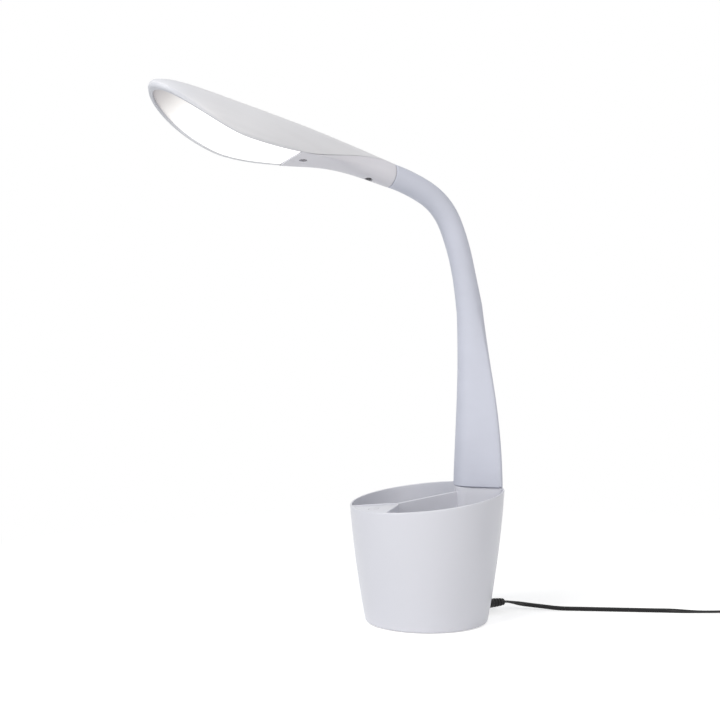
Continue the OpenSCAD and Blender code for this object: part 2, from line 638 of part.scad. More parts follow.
clamp_len = 26;
clamp_r = sleeve_r - shell_t - 0.8;
module head_clamp() color([0.55, 0.55, 0.57]) place_head() difference() {
  translate([0, -seam_u, 0]) rotate([90, 0, 0]) cylinder(h = clamp_len, r = clamp_r, $fn = 72);
  translate([0, 5, 0]) rotate([90, 0, 0]) cylinder(h = spigot_out + 5.4, r = spigot_r + 0.07, $fn = 72);
  rotate([90, 0, 0]) cylinder(h = clamp_len + 2, r = 2.6, $fn = 40);
  translate([0, -rear_screw_u, -20])
    cylinder(h = 20 + rear_floor + well_t + fit, r = well_out_r + fit, $fn = 48);
  translate([0, -rear_screw_u, -12]) cylinder(h = 9.5, r = 1.25, $fn = 24);
}

diff_end = head_len - 6;
diff_cols = 12;
diff_t = 1.2;
diff_up = 0.8;        // the diffuser lies this far inside the rim
function lens_row(u, n) =
  let (w = half_w(u) - shell_t - 0.5)
  [for (j = [0:diff_cols]) let (k = 1 - 2 * j / diff_cols)
    [w * k, -u, rim_n(u) + diff_up + n + 0.6 * (1 - k * k)]];
module diffuser() color([1, 1, 0.97]) place_head() {
  us = [for (i = [0:18]) diffuser_u + 0.3 + (diff_end - diffuser_u - 0.3) * sin(90 * i / 18)];
  thick_wall([for (u = us) lens_row(u, diff_t)], [for (u = us) lens_row(u, 0)]);
}

module led_board() color([0.85, 0.85, 0.85]) place_head() difference() {
  translate([-led_w / 2, -led_u[1], led_n]) cube([led_w, led_u[1] - led_u[0], led_t]);
  for (u = led_posts) translate([0, -u, 0]) cylinder(h = 20, r = 1.3, $fn = 24);
}

chip_size = [3.5, 2.8, 0.8];
chip_x = 8;
chip_pitch = 10;
chip_count = floor((led_u[1] - led_u[0] - 12) / chip_pitch);
module led_chips() color([1, 0.95, 0.6]) place_head()
  for (s = [-1, 1]) for (i = [0:chip_count])
    translate([s * chip_x - chip_size[0] / 2, -led_u[0] - 8 - i * chip_pitch, led_n - chip_size[2]])
      cube(chip_size);

module led_screws() color([0.6, 0.6, 0.62]) place_head()
  for (u = led_posts) translate([0, -u, led_n]) {
    translate([0, 0, -1]) cylinder(h = 1, r = 2.2, $fn = 32);
    translate([0, 0, -eps]) cylinder(h = 6, r = 1, $fn = 24);
  }

// ---------- lead ----------
plug_profile = [
  [0, 0], [plug_d / 2 - 0.6, 0], [plug_d / 2, 0.9], [plug_d / 2, 14], [plug_d / 2 - 1, 15.4],
  [plug_d / 2 - 1, 16.6], [plug_d / 2 - 0.4, 16.6], [plug_d / 2 - 0.5, 18.4], [plug_d / 2 - 1.3, 18.4],
  [plug_d / 2 - 1.3, 19.6], [plug_d / 2 - 0.8, 19.6], [plug_d / 2 - 0.9, 21.2], [plug_d / 2 - 1.7, 21.2],
  [plug_d / 2 - 1.7, 22.4], [plug_d / 2 - 1.3, 22.4], [plug_d / 2 - 1.5, 24], [plug_d / 2 - 2, 24],
  [plug_d / 2 - 2, plug_len], [0, plug_len]
];
module plug_body() color([0.08, 0.08, 0.08])
  rearward(plug_y, socket_z) rotate_extrude($fn = 64) polygon(plug_profile);
barrel_len = 9.5;
module plug_barrel() color([0.75, 0.75, 0.77]) difference() {
  rearward(plug_y - barrel_len, socket_z) cylinder(h = barrel_len, r = barrel_r, $fn = 48);
  rearward(plug_y - barrel_len - 0.5, socket_z) cylinder(h = barrel_len - 0.5, r = 1.15, $fn = 32);
}

function unit(v) = v / norm(v);
// Catmull-Rom point on a list of points, at parameter s from 0 to len - 1
function smooth_at(p, s) =
  let (i = min(len(p) - 2, floor(s)), t = s - i,
       a = p[max(0, i - 1)], b = p[i], c = p[i + 1], d = p[min(len(p) - 1, i + 2)])
  0.5 * (2 * b + (c - a) * t + (2 * a - 5 * b + 4 * c - d) * t * t + (3 * b - a - 3 * c + d) * t * t * t);
// Flat oval ring of n points around p, square to the direction v
function ring(p, v, n) =
  let (f = unit(v), s = unit(cross(f, [0, 0, 1])), u = cross(f, s))
  [for (j = [0:n - 1]) let (a = 360 * j / n) p + lead_w / 2 * cos(a) * s + lead_h / 2 * sin(a) * u];
// Tube through a list of points
module tube(path, n) {
  m = len(path);
  skin([for (i = [0:m - 1]) ring(path[i], path[min(m - 1, i + 1)] - path[max(0, i - 1)], n)], n);
}

strap_t = 0.7;
coil_turns = 4;       // in each of the two layers
coil_gap = 0.6;
coil_c = [150, 300];
coil_pitch = lead_w + coil_gap;
layer_h = lead_h * sin(60) + 0.8;
coil_out = coil_r + coil_turns * coil_pitch / 2;
coil_z = strap_t + fit + lead_h / 2 * sin(60);
coil_mid = coil_turns * 360;
coil_end = 2 * coil_mid + 90;
straight = lead_w + 0.8;
rings_per_loop = 24;
coil_in = coil_out - coil_turns * coil_pitch;
function wind_r(q) = coil_in + coil_pitch * abs(q - coil_mid) / 360;
function wind_z(q) = coil_z + layer_h * ease(clamp01((q - coil_mid + 90) / 180));
function wind(q) = [coil_c[0] - wind_r(q) * cos(q), coil_c[1] + wind_r(q) * sin(q), wind_z(q)];
wind_n = coil_end / (360 / rings_per_loop);
coil_start = [coil_c[0] - coil_out, coil_c[1] - straight, coil_z];
tail_start = wind(coil_end) + [straight, 0, 0];
wind_path = concat([coil_start], [for (i = [0:wind_n]) wind(i * 360 / rings_per_loop)], [tail_start]);
module lead_coil() color([0.07, 0.07, 0.07]) tube(wind_path, 6);

// Least distance between the skins of two turns, measured on the points of the rings
function ring_at(i) = ring(wind_path[i], wind_path[i + 1] - wind_path[i - 1], 6);
function ring_gap(a, b) = min([for (p = a) for (q = b) norm(p - q)]);
wind_rings = [for (i = [1:wind_n]) ring_at(i)];
wind_gap = min([for (i = [0:len(wind_rings) - 1]) min(concat([99], [for (k = [1:8]) for (d = [-1:1])
  let (j = i + rings_per_loop * k + d) if (j < len(wind_rings)) ring_gap(wind_rings[i], wind_rings[j])]))]);
echo(least_gap_between_turns = wind_gap);

route = [
  [0, plug_y + plug_len, socket_z], [0.2, 93, 8.7], [1.4, 98, 7.8], [3.6, 104, 6.6], [6.8, 110, 5.6],
  [10.6, 116, 4.8], [14.6, 122, 4.1], [19, 128.6, 3.3], [24, 136, 2.4], [31, 146.5, 1.55], [39, 158.5, 1.25],
  [49, 173.5, 1.25], [60, 190, 1.25], [71, 206.5, 1.25], [82, 223.5, 1.25], [92, 240, 1.25], [101, 256, 1.3],
  [108.5, 270, 1.5], [114, 281, 1.7], coil_start - [0, 6, 0], coil_start
];
run_steps = 2;
run_path = [for (k = [0:(len(route) - 1) * run_steps]) smooth_at(route, k / run_steps)];
module lead_run() color([0.07, 0.07, 0.07]) tube(run_path, 8);

tie_angle = 225;
tie_w = 9;
tie_gap = 0.4;
tie_turn = tie_angle >= 180 ? 360 - tie_angle : tie_angle;   // nearest pass of the innermost turn
tie_near = coil_in + coil_pitch * tie_turn / 360 - lead_w / 2 - tie_gap;
tie_r0 = sqrt(pow(tie_near, 2) - pow(tie_w / 2, 2)) - tie_gap;
tie_r1 = coil_in + coil_pitch * (coil_turns - 1 + tie_angle / 360) + lead_w / 2 + tie_gap;
tie_z1 = coil_z + layer_h + lead_h / 2 + fit;
module tie_outline(o) {
  translate([tie_r0 - o, strap_t - o]) square([tie_r1 - tie_r0 + 2 * o, tie_z1 - strap_t + 2 * o]);
}
module lead_tie() color([0.1, 0.1, 0.1])
  translate([coil_c[0], coil_c[1], 0]) rotate(180 - tie_angle) rotate([90, 0, 0])
    linear_extrude(tie_w, center = true) difference() {
      tie_outline(strap_t);
      tie_outline(0);
    }

adaptor_w = 38;
adaptor_h = 30;
relief_len = 18;
relief_z = adaptor_h / 2;
adaptor_x = coil_c[0] + coil_out + lead_w / 2 + 4 + adaptor_w / 2;
tail_end = [adaptor_x, coil_c[1] + 10, relief_z];
tail = [
  tail_start, tail_start + [6, 0, 0], tail_start + [14, 1, 0.2], tail_start + [23, 1.6, 0.8],
  tail_start + [32, 1, 2.2], tail_start + [40, -1.6, 4.2],
  tail_end + [-4, 12.5, -3.2], tail_end + [-0.8, 5.6, -0.7], tail_end
];
tail_path = [for (k = [0:(len(tail) - 1) * 2]) smooth_at(tail, k / 2)];
module lead_tail() color([0.07, 0.07, 0.07]) tube(tail_path, 8);

module round_rect(w, d, r) {
  translate([-w / 2 + r, -d / 2]) square([w - 2 * r, d]);
  translate([-w / 2, -d / 2 + r]) square([w, d - 2 * r]);
  for (sx = [-1, 1]) for (sy = [-1, 1])
    translate([sx * (w / 2 - r), sy * (d / 2 - r)]) circle(r = r, $fn = 32);
}
module adaptor_body() color([0.09, 0.09, 0.09]) translate(tail_end) rotate([90, 0, 0]) {
  translate([0, 0, relief_len]) linear_extrude(adaptor_len) round_rect(adaptor_w, adaptor_h, 4);
  cylinder(h = relief_len + eps, r1 = lead_w / 2 + 0.3, r2 = lead_w / 2 + 1.9, $fn = 48);
}
blade = [1.5, 6.4, 16];
blade_x = 6.35;       // half the distance between the blades
blade_y = tail_end[1] - relief_len - adaptor_len / 2;
module adaptor_blades() color([0.75, 0.72, 0.6])
  for (s = [-1, 1]) translate([adaptor_x + s * blade_x, blade_y, adaptor_h])
    difference() {
      translate([-blade[0] / 2, -blade[1] / 2, 0]) cube(blade);
      translate([-2, 0, blade[2] - 4.5]) rotate([0, 90, 0]) cylinder(h = 4, r = 1.6, $fn = 32);
    }

cup_body();
touch_panel();
touch_board();
bottom_plate();
ballast_disc();
rubber_pad();
base_screws();
driver_board();
board_screws();
dc_socket();
socket_pin();
neck_washer();
neck_nut();
neck_boot();
gooseneck_root();
neck_sleeve_1();
gooseneck_core_1();
neck_sleeve_2();
gooseneck_core_2();
neck_sleeve_3();
gooseneck_core_3();
neck_sleeve_4();
gooseneck_core_4();
head_clamp();
head_top_shell();
head_rear_cover();
head_screws();
diffuser();
led_board();
led_chips();
led_screws();
plug_body();
plug_barrel();
lead_run();
lead_coil();
lead_tie();
lead_tail();
adaptor_body();
adaptor_blades();
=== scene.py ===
import math

import bmesh
import bpy
import numpy as np
from mathutils import Matrix, Vector


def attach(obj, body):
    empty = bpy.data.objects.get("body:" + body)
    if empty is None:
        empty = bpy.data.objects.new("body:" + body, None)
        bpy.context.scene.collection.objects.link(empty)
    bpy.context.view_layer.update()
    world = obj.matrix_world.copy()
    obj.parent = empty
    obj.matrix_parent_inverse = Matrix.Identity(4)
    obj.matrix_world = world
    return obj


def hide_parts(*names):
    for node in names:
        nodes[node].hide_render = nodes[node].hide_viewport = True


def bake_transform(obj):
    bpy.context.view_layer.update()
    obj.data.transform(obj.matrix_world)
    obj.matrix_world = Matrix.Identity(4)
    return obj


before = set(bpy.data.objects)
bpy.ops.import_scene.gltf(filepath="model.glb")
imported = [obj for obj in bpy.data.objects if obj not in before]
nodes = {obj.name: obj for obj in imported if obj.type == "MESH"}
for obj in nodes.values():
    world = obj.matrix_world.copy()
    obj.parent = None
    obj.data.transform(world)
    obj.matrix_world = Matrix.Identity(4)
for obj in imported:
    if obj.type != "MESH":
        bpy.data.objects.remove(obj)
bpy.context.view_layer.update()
scene = bpy.context.scene
scene.view_settings.view_transform = "Standard"
MM = 0.001
rad = math.radians


# ---------------- camera
cam_data = bpy.data.cameras.new("camera")
cam = bpy.data.objects.new("camera", cam_data)
scene.collection.objects.link(cam)
cam_data.lens = 65
cam_data.sensor_width = 36
cam_data.clip_start, cam_data.clip_end = 0.05, 50
cam.location = (1.0596, -0.6376, 0.2753)
look = Vector((-0.882, 0.471, -0.0218)).normalized()
cam.rotation_mode = "QUATERNION"
cam.rotation_quaternion = look.to_track_quat("-Z", "Y")
scene.camera = cam


# ---------------- small tools
def link(name, mesh):
    o = bpy.data.objects.new(name, mesh)
    scene.collection.objects.link(o)
    return o


def mesh_of(name, points, faces, material=None, smooth=True, sharp=None):
    """Object from points in millimetres and faces."""
    m = bpy.data.meshes.new(name)
    m.from_pydata([tuple(p) for p in np.asarray(points, float) * MM], [], faces)
    m.validate()
    if smooth:
        m.polygons.foreach_set("use_smooth", [True] * len(m.polygons))
        if sharp:
            m.set_sharp_from_angle(angle=rad(sharp))
    m.update()
    o = link(name, m)
    if material:
        m.materials.append(material)
    return o


def band_faces(m, n, around=True, flip=False, base=0):
    """Quads between m rows of n points."""
    faces = []
    last = n if around else n - 1
    for i in range(m - 1):
        for j in range(last):
            k = (j + 1) % n
            f = [base + i * n + j, base + i * n + k, base + (i + 1) * n + k, base + (i + 1) * n + j]
            faces.append(f[::-1] if flip else f)
    return faces


def full_turn(count):
    return np.arange(count) * 2 * math.pi / count


def ring_at(r, z, turn, x=0, y=0):
    """Ring of radius r at height z around (x, y), at the angles turn."""
    return np.stack([x + r * np.cos(turn), y + r * np.sin(turn), z + 0 * turn], axis=1)


def ring_stack(rings):
    """Closed solid through rings of equal length, with a flat cap at each end."""
    n = len(rings[0])
    base = (len(rings) - 1) * n
    faces = band_faces(len(rings), n) + [list(range(n))[::-1], [base + j for j in range(n)]]
    return np.concatenate(rings), faces


def plate_faces(m, n, flip=False):
    """Faces of a thin plate: m rows of n points on one side, as many on the other, and its four edges.
    flip winds its two sides the other way and leaves the edges."""
    k, e = m * n, (m - 1) * n
    faces = band_faces(m, n, around=False, flip=flip) + band_faces(m, n, around=False, flip=not flip, base=k)
    for i in range(0, e, n):
        faces.append([i, i + n, k + i + n, k + i])
        faces.append([i + n - 1, k + i + n - 1, k + i + 2 * n - 1, i + 2 * n - 1])
    for j in range(n - 1):
        faces.append([j + 1, j, k + j, k + j + 1])
        faces.append([e + j, e + j + 1, k + e + j + 1, k + e + j])
    return faces


def joined(name, solids, material, sharp=35):
    """One mesh of several closed solids, all facing outwards."""
    points, faces = [], []
    for solid_points, solid_faces in solids:
        faces += [[len(points) + i for i in face] for face in solid_faces]
        points += list(solid_points)
    o = mesh_of(name, points, faces, material)
    bm = bmesh.new()
    bm.from_mesh(o.data)
    bmesh.ops.recalc_face_normals(bm, faces=bm.faces)
    bm.to_mesh(o.data)
    bm.free()
    o.data.set_sharp_from_angle(angle=rad(sharp))
    return o


def carve(target, tool, op):
    """Boolean of target with tool, which is used up."""
    mod = target.modifiers.new("carve", "BOOLEAN")
    mod.operation, mod.object, mod.solver = op, tool, "EXACT"
    bpy.context.view_layer.update()
    dg = bpy.context.evaluated_depsgraph_get()
    new = bpy.data.meshes.new_from_object(target.evaluated_get(dg))
    target.modifiers.clear()
    new.name = target.data.name + "_cut"
    target.data = new
    bpy.data.objects.remove(tool)


def ease(t):
    """Smooth step from 0 to 1."""
    t = np.clip(t, 0, 1)
    return t * t * (3 - 2 * t)


def clamp01(t):
    return min(1.0, max(0.0, t))


def attribute(mesh, name, values):
    a = mesh.attributes.new(name, "FLOAT", "POINT")
    a.data.foreach_set("value", np.asarray(values, np.float32))


# ---------------- materials
def srgb(r, g, b):
    def lin(c):
        c /= 255
        return c / 12.92 if c <= 0.04045 else ((c + 0.055) / 1.055) ** 2.4
    return (lin(r), lin(g), lin(b), 1)


def shade(c, k):
    return (c[0] * k, c[1] * k, c[2] * k, 1)


WHITE, SKIN, SHELL = srgb(214, 215, 223), srgb(202, 205, 218), srgb(221, 221, 225)
# the second colour on the next line is painted shade, for the lip and the inside of the head
COVER, LIP_SHADE = srgb(214, 213, 220), srgb(200, 202, 209)
HEAD_TILT, HEAD_ROLL = 13.8, 9  # slope of the head, and roll about its length, in degrees
MARK_Y, MARK_R = -0.0575, 0.0048  # place and radius of the mark on the touch face, in metres


class Mat:
    """A node material: methods add a node and return its output socket."""

    def __init__(self, name):
        self.m = bpy.data.materials.new(name)
        self.m.use_nodes = True
        self.t = self.m.node_tree
        self.t.nodes.clear()
        out = self.t.nodes.new("ShaderNodeOutputMaterial")
        self.p = self.t.nodes.new("ShaderNodeBsdfPrincipled")
        self.t.links.new(self.p.outputs[0], out.inputs[0])

    def put(self, socket, value):
        if isinstance(value, bpy.types.NodeSocket):
            self.t.links.new(value, socket)
        else:
            socket.default_value = value

    def set(self, **values):
        for k, v in values.items():
            self.put(self.p.inputs[k.replace("_", " ")], v)

    def coords(self, scale=(1, 1, 1), turn=(0, 0, 0)):
        """Object coordinates in metres, turned and then scaled."""
        c = self.t.nodes.new("ShaderNodeTexCoord")
        first = self.t.nodes.new("ShaderNodeMapping")
        first.vector_type = "POINT"
        first.inputs["Rotation"].default_value = turn
        self.t.links.new(c.outputs["Object"], first.inputs["Vector"])
        second = self.t.nodes.new("ShaderNodeMapping")
        second.inputs["Scale"].default_value = scale
        self.t.links.new(first.outputs[0], second.inputs["Vector"])
        return second.outputs[0]

    def add(self, kind, out, props=(), **inputs):
        """Adds a node, with its settings in props, and returns its output."""
        n = self.t.nodes.new("ShaderNode" + kind)
        for k, v in props:
            setattr(n, k, v)
        for k, v in inputs.items():
            self.put(n.inputs[k.replace("_", " ")], v)
        return n.outputs[out]

    def field(self, name):
        return self.add("Attribute", "Fac", [("attribute_name", name)])

    def join(self, x, y, z):
        return self.add("CombineXYZ", 0, X=x, Y=y, Z=z)

    def split(self, v, i):
        return self.add("SeparateXYZ", i, Vector=v)

    def math(self, op, a, b=0.0):
        n = self.t.nodes.new("ShaderNodeMath")
        n.operation = op
        for s, v in zip(n.inputs, (a, b)):
            self.put(s, v)
        return n.outputs[0]

    def noise(self, v, scale, detail, rough=0.5):
        return self.add("TexNoise", "Fac", Vector=v, Scale=scale, Detail=detail, Roughness=rough)

    def cells(self, v, scale, out="Distance"):
        return self.add("TexVoronoi", out, Vector=v, Scale=scale)

    def wave(self, v, scale, distortion, axis="X"):
        return self.add("TexWave", "Fac", [("bands_direction", axis)], Vector=v, Scale=scale,
                        Distortion=distortion)

    def ramp(self, fac, *stops):
        n = self.t.nodes.new("ShaderNodeValToRGB")
        e = n.color_ramp.elements
        while len(e) < len(stops):
            e.new(0.5)
        for el, (at, c) in zip(e, stops):
            el.position = at
            el.color = c if hasattr(c, "__len__") else (c, c, c, 1)
        self.put(n.inputs[0], fac)
        return n.outputs[0]

    def span(self, fac, a, b, lo=0.0, hi=1.0):
        """fac between a and b, taken to between lo and hi."""
        return self.add("MapRange", "Result", Value=fac, From_Min=a, From_Max=b, To_Min=lo, To_Max=hi)

    def mix(self, fac, a, b, blend="MIX"):
        n = self.t.nodes.new("ShaderNodeMix")
        n.data_type = "RGBA"
        n.blend_type = blend
        self.put(n.inputs[0], fac)
        self.put(n.inputs[6], a)
        self.put(n.inputs[7], b)
        return n.outputs[2]

    def bump(self, *heights):
        """heights: (field, strength, distance in metres), laid one on another."""
        last = None
        for h, strength, distance in heights:
            n = self.t.nodes.new("ShaderNodeBump")
            n.inputs["Strength"].default_value = strength
            n.inputs["Distance"].default_value = distance
            self.put(n.inputs["Height"], h)
            if last:
                self.t.links.new(last, n.inputs["Normal"])
            last = n.outputs[0]
        self.t.links.new(last, self.p.inputs["Normal"])


def moulded(name, colour, rough, grain=0.03, tint=0.006):
    """Injection-moulded plastic: hardly cloudy colour, a slightly uneven gloss and a fine grain."""
    a = Mat(name)
    v = a.coords()
    cloud = a.noise(v, 14, 3, 0.5)
    fine = a.noise(v, 3200, 2, 0.6)
    base = a.mix(a.span(cloud, 0.3, 0.7), shade(colour, 1 - tint), shade(colour, 1 + tint))
    base = a.mix(a.span(fine, 0.35, 0.7, 0, 0.3), base, shade(colour, 0.98))
    a.set(Base_Color=base, Roughness=a.span(cloud, 0.25, 0.75, rough - 0.012, rough + 0.02))
    a.bump((fine, grain, 0.0002))
    return a.m


def metal(name, colour, rough, brushed=(1500, 1500, 120), grime=0.1):
    """Bare metal with fine lines across the axes in which brushed is high, and darker spots."""
    a = Mat(name)
    lines = a.noise(a.coords(brushed), 1, 3, 0.6)
    spots = a.noise(a.coords(), 210, 4, 0.6)
    base = a.mix(a.span(spots, 0.4, 0.75, 0, grime), colour, shade(colour, 0.45))
    a.set(Base_Color=base, Metallic=1.0, Roughness=a.span(lines, 0.3, 0.7, rough - 0.03, rough + 0.1))
    a.bump((lines, 0.08, 0.0001), (spots, 0.05, 0.0002))
    return a.m


def skin_material():
    """Soft-touch sleeve: matte, a fine even grain, faint rings where it is bent and a dusty bloom."""
    a = Mat("neck_sleeve_skin")
    s, x, y = a.field("sk_s"), a.field("sk_x"), a.field("sk_y")
    v = a.join(x, y, s)
    cloud = a.noise(v, 0.035, 4, 0.55)
    grain = a.noise(v, 3.4, 3, 0.65)
    dust = a.noise(v, 0.9, 5, 0.7)
    rings = a.math("SINE", a.math("MULTIPLY", s, 2.1))
    bent = a.span(s, 165, 200)
    colour = a.mix(a.span(cloud, 0.32, 0.68), shade(SKIN, 0.975), shade(SKIN, 1.02))
    colour = a.mix(a.span(dust, 0.62, 0.8, 0, 0.22), colour, shade(SKIN, 1.08))
    a.set(Base_Color=colour, Roughness=a.span(dust, 0.3, 0.75, 0.5, 0.62), Specular_IOR_Level=0.35,
          Sheen_Weight=0.12, Sheen_Roughness=0.45)
    a.bump((grain, 0.16, 0.00012), (a.math("MULTIPLY", rings, bent), 0.05, 0.00006))
    return a.m


def head_material(name, colour, rough, streak):
    """Satin shell of the head: long soft streaks from the neck to the tip, a fine orange peel, and painted
    shade on the lip and the inside.
    """
    a = Mat(name)
    level = (rad(HEAD_TILT), 0, 0)
    streaks = a.noise(a.coords((120, 6, 120), level), 1, 4, 0.55)
    fine = a.noise(a.coords((420, 14, 420), level), 1, 3, 0.6)
    peel = a.noise(a.coords(), 900, 2, 0.5)
    base = a.mix(a.span(streaks, 0.33, 0.67), shade(colour, 1 - streak), shade(colour, 1 + streak))
    base = a.mix(a.span(fine, 0.45, 0.75, 0, 0.3), base, shade(colour, 1 + streak))
    # painted shade: the greyer colour on the lip, the inside and the skin beside the lip near the tip
    base = a.mix(a.field("hd_lip_shade"), base, LIP_SHADE)
    a.set(Base_Color=base, Roughness=a.span(streaks, 0.3, 0.7, rough - 0.02, rough + 0.04))
    a.bump((peel, 0.03, 0.0002), (fine, 0.03, 0.00015))
    return a.m


def glow_material():
    """Milk-white light panel that glows: its glow is dimmed near its edge, painted shade of the lip, and
    fades towards its tip, partly the falloff of the chips' light and partly painted shade of the deep tip;
    its colour darkens towards the tip, painted shade.
    """
    a = Mat("diffuser_milk")
    edge, tip = a.field("ln_edge"), a.field("ln_tip")
    v = a.coords()
    haze = a.noise(v, 60, 3, 0.5)
    grain = a.noise(v, 2600, 2, 0.6)
    # painted shade of the lip: the glow is dimmed near the panel's edge
    rim = a.ramp(edge, (0.0, 0.7), (0.2, 0.95), (0.5, 1.0))
    # towards the tip the glow fades: partly the falloff of the chips' light, partly painted shade of the deep
    # tip
    far = a.ramp(tip, (0.0, (0.15, 0.145, 0.15, 1)), (0.11, (0.31, 0.30, 0.30, 1)),
                 (0.25, (0.64, 0.63, 0.615, 1)), (0.42, (0.94, 0.94, 0.93, 1)))
    glow = a.mix(1.0, far, rim, "MULTIPLY")
    # painted shade: the panel's colour is darker towards the tip
    tip_shaded_base = a.ramp(tip, (0.0, (0.34, 0.32, 0.33, 1)), (0.12, (0.40, 0.38, 0.375, 1)),
                 (0.38, (0.62, 0.62, 0.61, 1)))
    a.set(Base_Color=a.mix(a.span(grain, 0.3, 0.7, 0, 0.06), tip_shaded_base, (0.9, 0.9, 0.89, 1)),
          Roughness=a.span(haze, 0.3, 0.7, 0.38, 0.5), Emission_Color=glow)
    a.p.inputs["Emission Strength"].default_value = 1.0
    a.bump((grain, 0.05, 0.0001))
    return a.m


def jacket_material():
    """Black cable jacket: satin vinyl with a lengthwise draw and small scuffs."""
    a = Mat("lead_vinyl")
    s, t = a.field("ld_s"), a.field("ld_t")
    v = a.join(a.math("MULTIPLY", s, 0.06), t, 0.0)
    draw = a.noise(v, 5, 3, 0.6)
    scuff = a.noise(a.join(s, t, 0.0), 0.9, 5, 0.7)
    base = a.mix(a.span(scuff, 0.6, 0.8, 0, 0.4), (0.007, 0.007, 0.008, 1), (0.026, 0.027, 0.027, 1))
    a.set(Base_Color=base, Roughness=a.span(scuff, 0.3, 0.75, 0.33, 0.5), Specular_IOR_Level=0.3)
    a.bump((draw, 0.25, 0.0002), (scuff, 0.06, 0.0001))
    return a.m


def black_material(name, rough=0.42, spark=2400, base=(0.014, 0.014, 0.015, 1), spec=0.5):
    """Black moulded plastic with a spark-eroded grain."""
    a = Mat(name)
    v = a.coords()
    sparks = a.noise(v, spark, 3, 0.7)
    wear = a.noise(v, 130, 5, 0.65)
    a.set(Base_Color=a.mix(a.span(wear, 0.6, 0.8, 0, 0.4), base, (0.045, 0.045, 0.046, 1)),
          Roughness=a.span(wear, 0.3, 0.7, rough - 0.05, rough + 0.08), Specular_IOR_Level=spec)
    a.bump((sparks, 0.25, 0.00015), (wear, 0.03, 0.0002))
    return a.m


def rubber_material():
    """Foam rubber with open pores."""
    a = Mat("pad_foam_rubber")
    v = a.coords()
    pores = a.cells(v, 900)
    smear = a.noise(v, 70, 4, 0.6)
    a.set(Base_Color=a.mix(a.span(smear, 0.35, 0.7), (0.030, 0.030, 0.031, 1), (0.055, 0.055, 0.054, 1)),
          Roughness=a.span(pores, 0, 0.6, 0.78, 0.9))
    a.bump((pores, 0.35, 0.0002), (smear, 0.05, 0.0003))
    return a.m


def board_material():
    """Circuit board: green mask over a copper pattern of short right-angled tracks and tinned pads."""
    a = Mat("board_mask")
    v = a.coords()
    tracks = a.math("GREATER_THAN", a.wave(v, 160, 0.0), 0.72)
    cross = a.math("GREATER_THAN", a.wave(v, 130, 0.0, axis="Y"), 0.8)
    where = a.math("GREATER_THAN", a.cells(v, 120, out="Color"), 0.5)
    copper = a.math("MULTIPLY", a.math("MAXIMUM", tracks, cross), where)
    weave = a.noise(a.coords((3000, 3000, 3000)), 1, 2)
    base = a.mix(a.math("MULTIPLY", copper, 0.55), (0.012, 0.085, 0.035, 1), (0.05, 0.19, 0.07, 1))
    a.set(Base_Color=base, Roughness=a.span(weave, 0.3, 0.7, 0.26, 0.38))
    a.bump((copper, 0.2, 0.0001), (weave, 0.03, 0.0001))
    return a.m


def strap_material():
    """Woven hook-and-loop strap."""
    a = Mat("strap_weave")
    v = a.coords(turn=(0, 0, rad(45)))
    over = a.wave(v, 260, 0.6)
    under = a.wave(v, 260, 0.6, axis="Z")
    fuzz = a.noise(v, 1900, 4, 0.7)
    yarn = a.math("MAXIMUM", over, under)
    a.set(Base_Color=a.mix(a.span(yarn, 0.3, 1), (0.008, 0.008, 0.009, 1), (0.032, 0.032, 0.034, 1)),
          Roughness=a.span(fuzz, 0.3, 0.7, 0.7, 0.9), Sheen_Weight=0.3, Sheen_Roughness=0.5)
    a.bump((yarn, 0.5, 0.0003), (fuzz, 0.3, 0.0002))
    return a.m


def touch_material():
    """Touch face of the ledge: the cup's plastic, finer, with a pale grey mark, a broken ring and a bar."""
    a = Mat("touch_face")
    v = a.coords()
    x, y = a.split(v, 0), a.split(v, 1)
    dy = a.math("ADD", y, -MARK_Y)
    r = a.math("SQRT", a.math("ADD", a.math("MULTIPLY", x, x), a.math("MULTIPLY", dy, dy)))
    off_ring = a.math("ABSOLUTE", a.math("SUBTRACT", r, MARK_R))
    off_bar = a.math("ABSOLUTE", a.math("SUBTRACT", dy, 0.0030))
    off_axis = a.math("ABSOLUTE", x)
    ring = a.math("SUBTRACT", 1.0, a.span(off_ring, 0.00035, 0.0006))
    bar = a.math("MULTIPLY", a.math("LESS_THAN", off_axis, 0.00045), a.math("LESS_THAN", off_bar, 0.0030))
    gap = a.math("MULTIPLY", a.math("LESS_THAN", off_axis, 0.0014), a.math("GREATER_THAN", dy, 0.0))
    mark = a.math("MAXIMUM", a.math("MULTIPLY", ring, a.math("SUBTRACT", 1.0, gap)), bar)
    cloud = a.noise(v, 40, 4, 0.5)
    fine = a.noise(v, 3600, 2, 0.6)
    face = a.mix(a.span(cloud, 0.3, 0.7), shade(WHITE, 0.985), shade(WHITE, 1.03))
    a.set(Base_Color=a.mix(a.math("MULTIPLY", mark, 0.55), face, srgb(150, 150, 158)),
          Roughness=a.span(cloud, 0.3, 0.7, 0.29, 0.33))
    a.bump((fine, 0.02, 0.0002))
    return a.m


def chip_material():
    """Yellow phosphor of the light chips."""
    a = Mat("led_phosphor")
    v = a.coords()
    n = a.noise(v, 900, 3, 0.6)
    a.set(Base_Color=a.mix(a.span(n, 0.35, 0.7), (0.85, 0.66, 0.14, 1), (0.93, 0.80, 0.30, 1)),
          Roughness=a.span(n, 0.3, 0.7, 0.3, 0.45), Emission_Color=(1, 0.93, 0.75, 1))
    a.p.inputs["Emission Strength"].default_value = 1.5
    a.bump((n, 0.1, 0.0001))
    return a.m


